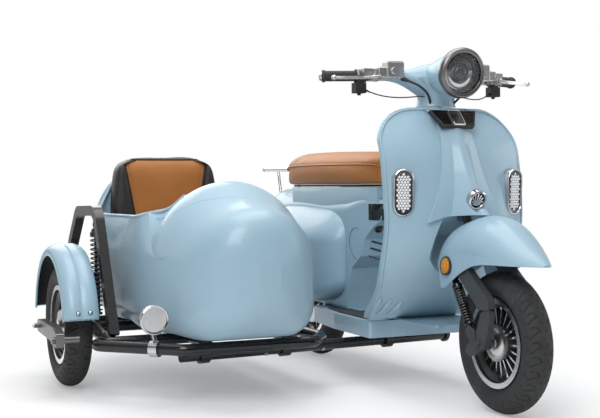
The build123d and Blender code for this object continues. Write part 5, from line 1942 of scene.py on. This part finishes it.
class SIDECAR_OT_fasteners(bpy.types.Operator):
    """Makes the mat's ribs, the bolts of the frame and the tail lamp's ribs"""

    bl_idname = "sidecar.fasteners"
    bl_label = "Fasteners and mat"

    def execute(self, context):
        self.mat()
        self.bolts()
        self.tail()
        return {"FINISHED"}

    def mat(self):
        """Raised ribs along the floor mat, laid where the mat is."""
        skin = Skin("floor_mat")
        ribs = Form()
        for k in range(-11, 12):
            x = 15.0 * k
            run = []
            for i in range(MAT_STEPS + 1):
                spot, _ = skin.hit((x, -786 + 8.0 * i, 320), (0, 0, -1))
                if i < MAT_STEPS and spot is not None and abs(spot.z - MAT_TOP) < 1.0:
                    run.append(spot)
                    continue
                if len(run) > 3:
                    ribs.tube([p + Vector((0, 0, -0.6)) for p in run[1:-1]], 2.2, 8)
                run = []
        ribs.piece("mat_ribs", "chassis", ["soft rubber"], "rubber", angle=50)

    def bolts(self):
        """Hexagon heads wherever a ray meets the bracket that they hold."""
        wanted = (
            ("sidecar_arm", (-1300, -290, 216), (1, 0, 0)),
            ("sidecar_arm", (-1300, -250, 216), (1, 0, 0)),
            ("sidecar_frame", (-1400, -120, 168), (1, 0, 0)),
            ("sidecar_frame", (-1400, -440, 168), (1, 0, 0)),
            ("sidecar_hoop", (-1400, -270, 240), (1, 0, 0)),
            ("sidecar_hoop", (-1400, -80, 240), (1, 0, 0)),
            ("tie_tube", (-520, -900, 130), (0, 1, 0)), ("tie_tube", (-300, -900, 130), (0, 1, 0)),
            ("rear_swingarm", (300, -330, 216), (-1, 0, 0)),
            ("rear_swingarm", (300, -40, 216), (-1, 0, 0)),
        )
        spots = []
        for node, start, towards in wanted:
            spot, out = Skin(node).hit(start, towards)
            if spot is not None:
                spots.append((spot - out * 0.6, out))
        made = spread("frame_bolts", bolt_mesh(13.0), spots, "brushed silver")
        as_piece("frame_bolts", made, "chassis", angle=30)

    def tail(self):
        """The ribs of the tail lamp."""
        low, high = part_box("tail_lamp")
        low, high = Vector(low) * 1000 - SHIFT, Vector(high) * 1000 - SHIFT
        skin = Skin("tail_lamp")
        ribs = Form()
        count = 9
        for k in range(count):
            z = low.z + (high.z - low.z) * (0.16 + 0.68 * k / (count - 1))
            starts = [
                (low.x + (high.x - low.x) * (0.1 + 0.8 * i / 16), high.y + 200, z)
                for i in range(17)
            ]
            laid = skin.laid(starts, (0, -1, 0), -0.4)
            if len(laid) > 3:
                ribs.tube(smoothed(laid), 1.5, 8)
        ribs.piece("tail_lamp_ribs", "chassis", ["red lens"], "red", angle=60)


class SIDECAR_OT_seat_rest(bpy.types.Operator):
    """Makes the raised rim of the body that the seat comes down on"""

    bl_idname = "sidecar.seat_rest"
    bl_label = "Seat rest"

    def execute(self, context):
        skin = Skin("rear_body")
        base_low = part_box("seat_base")[0][2] * 1000.0
        rest = Form()
        rows = []
        for i in range(68):
            y = -664 + 10.0 * i
            half = between(SEAT_STATIONS, y)[1] - 7.0
            spot = None
            while half > 30 and (spot is None or spot.z < 600):
                half -= 3.0
                spot, _ = skin.hit((half, y, 900), (0, 0, -1))
            low = (spot.z if spot is not None else 690.0) - 3.0
            high = base_low - 1.5
            if high - low < 4:
                break
            rows.append([
                Vector((x, y, z))
                for x, z in (
                    (-half, low), (-half, high - 4), (-half + 3, high), (-half + 12, high),
                    (-half + 12, low),
                )
            ])
        if len(rows) > 2:
            rest.rows(rows, closed=True, caps=True)
            rest.mirrored()
            front = rows[0]
            y = front[0].y
            half = front[0].x
            rest.slab(
                [(half, front[0].z), (half, front[2].z), (-half, front[2].z), (-half, front[0].z)],
                y - 3, y + 9, "y"
            )
            rest.piece("seat_rest", "chassis", ["body blue"], "blue", bevel=1.2, angle=40)
        return {"FINISHED"}


# ---- stage -----------------------------------------------------------------------------------
CAMERA_SPOT = (-1916.97, -4195.42, 699.91)
CAMERA_PAN, CAMERA_TILT, CAMERA_ROLL = -23.62, -1.28, -0.39
SENSOR_WIDTH = 36.0
FOCAL_SHARE = 1118.45 / 600.0
# Name, place, aim, size in metres and power in watts.
LAMPS = (
    ("key", (-2600, -3600, 3400), (-200, -700, 500), 2.4, 100.0),
    ("top", (-300, -500, 3800), (-300, -500, 0), 3.0, 90.0),
    ("side", (3600, -1800, 1700), (0, -800, 500), 2.0, 30.0),
    ("back", (-600, 3200, 2600), (-300, 0, 500), 2.6, 50.0),
)


class SIDECAR_OT_stage(bpy.types.Operator):
    """Sets the camera, the floor and the soft lights"""

    bl_idname = "sidecar.stage"
    bl_label = "Stage"

    def execute(self, context):
        scene = context.scene
        scene.view_settings.view_transform = "Standard"
        lens = bpy.data.cameras.new("camera")
        lens.sensor_width = SENSOR_WIDTH
        lens.lens = FOCAL_SHARE * SENSOR_WIDTH
        lens.clip_end = 60.0
        camera = put("camera", lens)
        camera.matrix_world = (
            Matrix.Translation(place(CAMERA_SPOT))
            @ Matrix.Rotation(radians(CAMERA_PAN), 4, "Z")
            @ Matrix.Rotation(radians(90.0 + CAMERA_TILT), 4, "X")
            @ Matrix.Rotation(radians(CAMERA_ROLL), 4, "Z")
        )
        scene.camera = camera
        self.floor(context)
        self.lights(context)
        return {"FINISHED"}

    def floor(self, context):
        """A pale floor that keeps the shadow and fades to white away from it."""
        tint = context.scene.sidecar_colours.backdrop
        f = Finish("floor", tint, 0.9)
        f.tint(f.noise(3.0), tint, 0.985, 1.0)
        white = f.node("ShaderNodeEmission", None, {"Color": (1, 1, 1, 1), "Strength": 1.0})
        path = f.node("ShaderNodeLightPath", out="Is Camera Ray")
        x, y, _ = f.axes(f.point)
        off_x = x * 0.92
        away = (off_x * off_x + y * y).maths("SQRT")
        share = path * (f.step(away, 1.15, 2.3) * 0.72 + 0.28)
        shader = Wire(f, f.shader.outputs[0])
        mixed = f.node("ShaderNodeMixShader", None, {0: share, 1: shader, 2: white})
        f.tree.links.new(mixed.socket, f.tree.nodes["Material Output"].inputs["Surface"])
        half = 40.0
        corners = [(-half, -half, 0), (half, -half, 0), (half, half, 0), (-half, half, 0)]
        put("floor", new_mesh("floor", corners, [(0, 1, 2, 3)], ["floor"]))

    def lights(self, context):
        """A white world to the camera, a dim room with bright strips to all else, and lamps."""
        world = bpy.data.worlds.new("studio")
        context.scene.world = world
        world.use_nodes = True
        g = Graph(world.node_tree)
        seen = g.node("ShaderNodeLightPath", out="Is Camera Ray")
        bounced = (g.other(seen, "Is Glossy Ray") + g.other(seen, "Is Transmission Ray")).clamped()
        x, y, z = g.axes(g.node("ShaderNodeTexCoord", out="Generated"))
        behind = g.step(y, 0.25, 0.75) * 0.8
        overhead = g.step(z, 0.45, 0.75) * 0.8
        strip_left = g.step(x * -0.93 + y * -0.36, 0.90, 0.97) * 0.9
        strip_right = g.step(x * 0.80 + y * -0.60, 0.93, 0.98) * 0.8
        room = (behind + overhead + strip_left + strip_right).maths("MINIMUM", 1.0) * 0.92 + 0.05
        level = seen + (1.0 - seen) * (bounced * room + (1.0 - bounced) * 0.36)
        soft = world.node_tree.nodes["Background"]
        soft.inputs["Color"].default_value = (1.0, 1.0, 1.0, 1.0)
        g.tree.links.new(level.socket, soft.inputs["Strength"])
        for name, spot, aim, size, power in LAMPS:
            lamp = bpy.data.lights.new(name, "AREA")
            lamp.size = size
            lamp.energy = power
            made = put(name, lamp)
            made.location = place(spot)
            made.rotation_mode = "QUATERNION"
            made.rotation_quaternion = (place(aim) - place(spot)).to_track_quat("-Z", "Y")


OPERATORS = [
    SIDECAR_OT_finishes, SIDECAR_OT_stage, SIDECAR_OT_cords, SIDECAR_OT_wheels, SIDECAR_OT_springs,
    SIDECAR_OT_headlamp, SIDECAR_OT_signals, SIDECAR_OT_side_lamp, SIDECAR_OT_controls,
    SIDECAR_OT_badge,
    SIDECAR_OT_panels, SIDECAR_OT_seat, SIDECAR_OT_passenger_seat, SIDECAR_OT_fasteners,
    SIDECAR_OT_seat_rest,
]


class SIDECAR_PT_panel(bpy.types.Panel):
    """Lists the pieces of the scooter and sidecar"""

    bl_idname = "SIDECAR_PT_panel"
    bl_label = "Scooter and sidecar"
    bl_space_type = "VIEW_3D"
    bl_region_type = "UI"
    bl_category = "Sidecar"

    def draw(self, context):
        for group in (context.scene.sidecar_colours, context.scene.sidecar_sizes):
            for name in group.bl_rna.properties.keys():
                if name not in ("rna_type", "name"):
                    self.layout.prop(group, name)
        for operator in OPERATORS:
            self.layout.operator(operator.bl_idname)


GROUPS = {"sidecar_colours": SidecarColours, "sidecar_sizes": SidecarSizes}


def register():
    for name, group in GROUPS.items():
        bpy.utils.register_class(group)
        setattr(bpy.types.Scene, name, bpy.props.PointerProperty(type=group))
    for cls in (*OPERATORS, SIDECAR_PT_panel):
        bpy.utils.register_class(cls)


def unregister():
    for cls in (SIDECAR_PT_panel, *reversed(OPERATORS)):
        bpy.utils.unregister_class(cls)
    for name, group in GROUPS.items():
        delattr(bpy.types.Scene, name)
        bpy.utils.unregister_class(group)


def main():
    register()
    for operator in OPERATORS:
        group, name = operator.bl_idname.split(".")
        getattr(getattr(bpy.ops, group), name)()


if __name__ == "__main__":
    main()
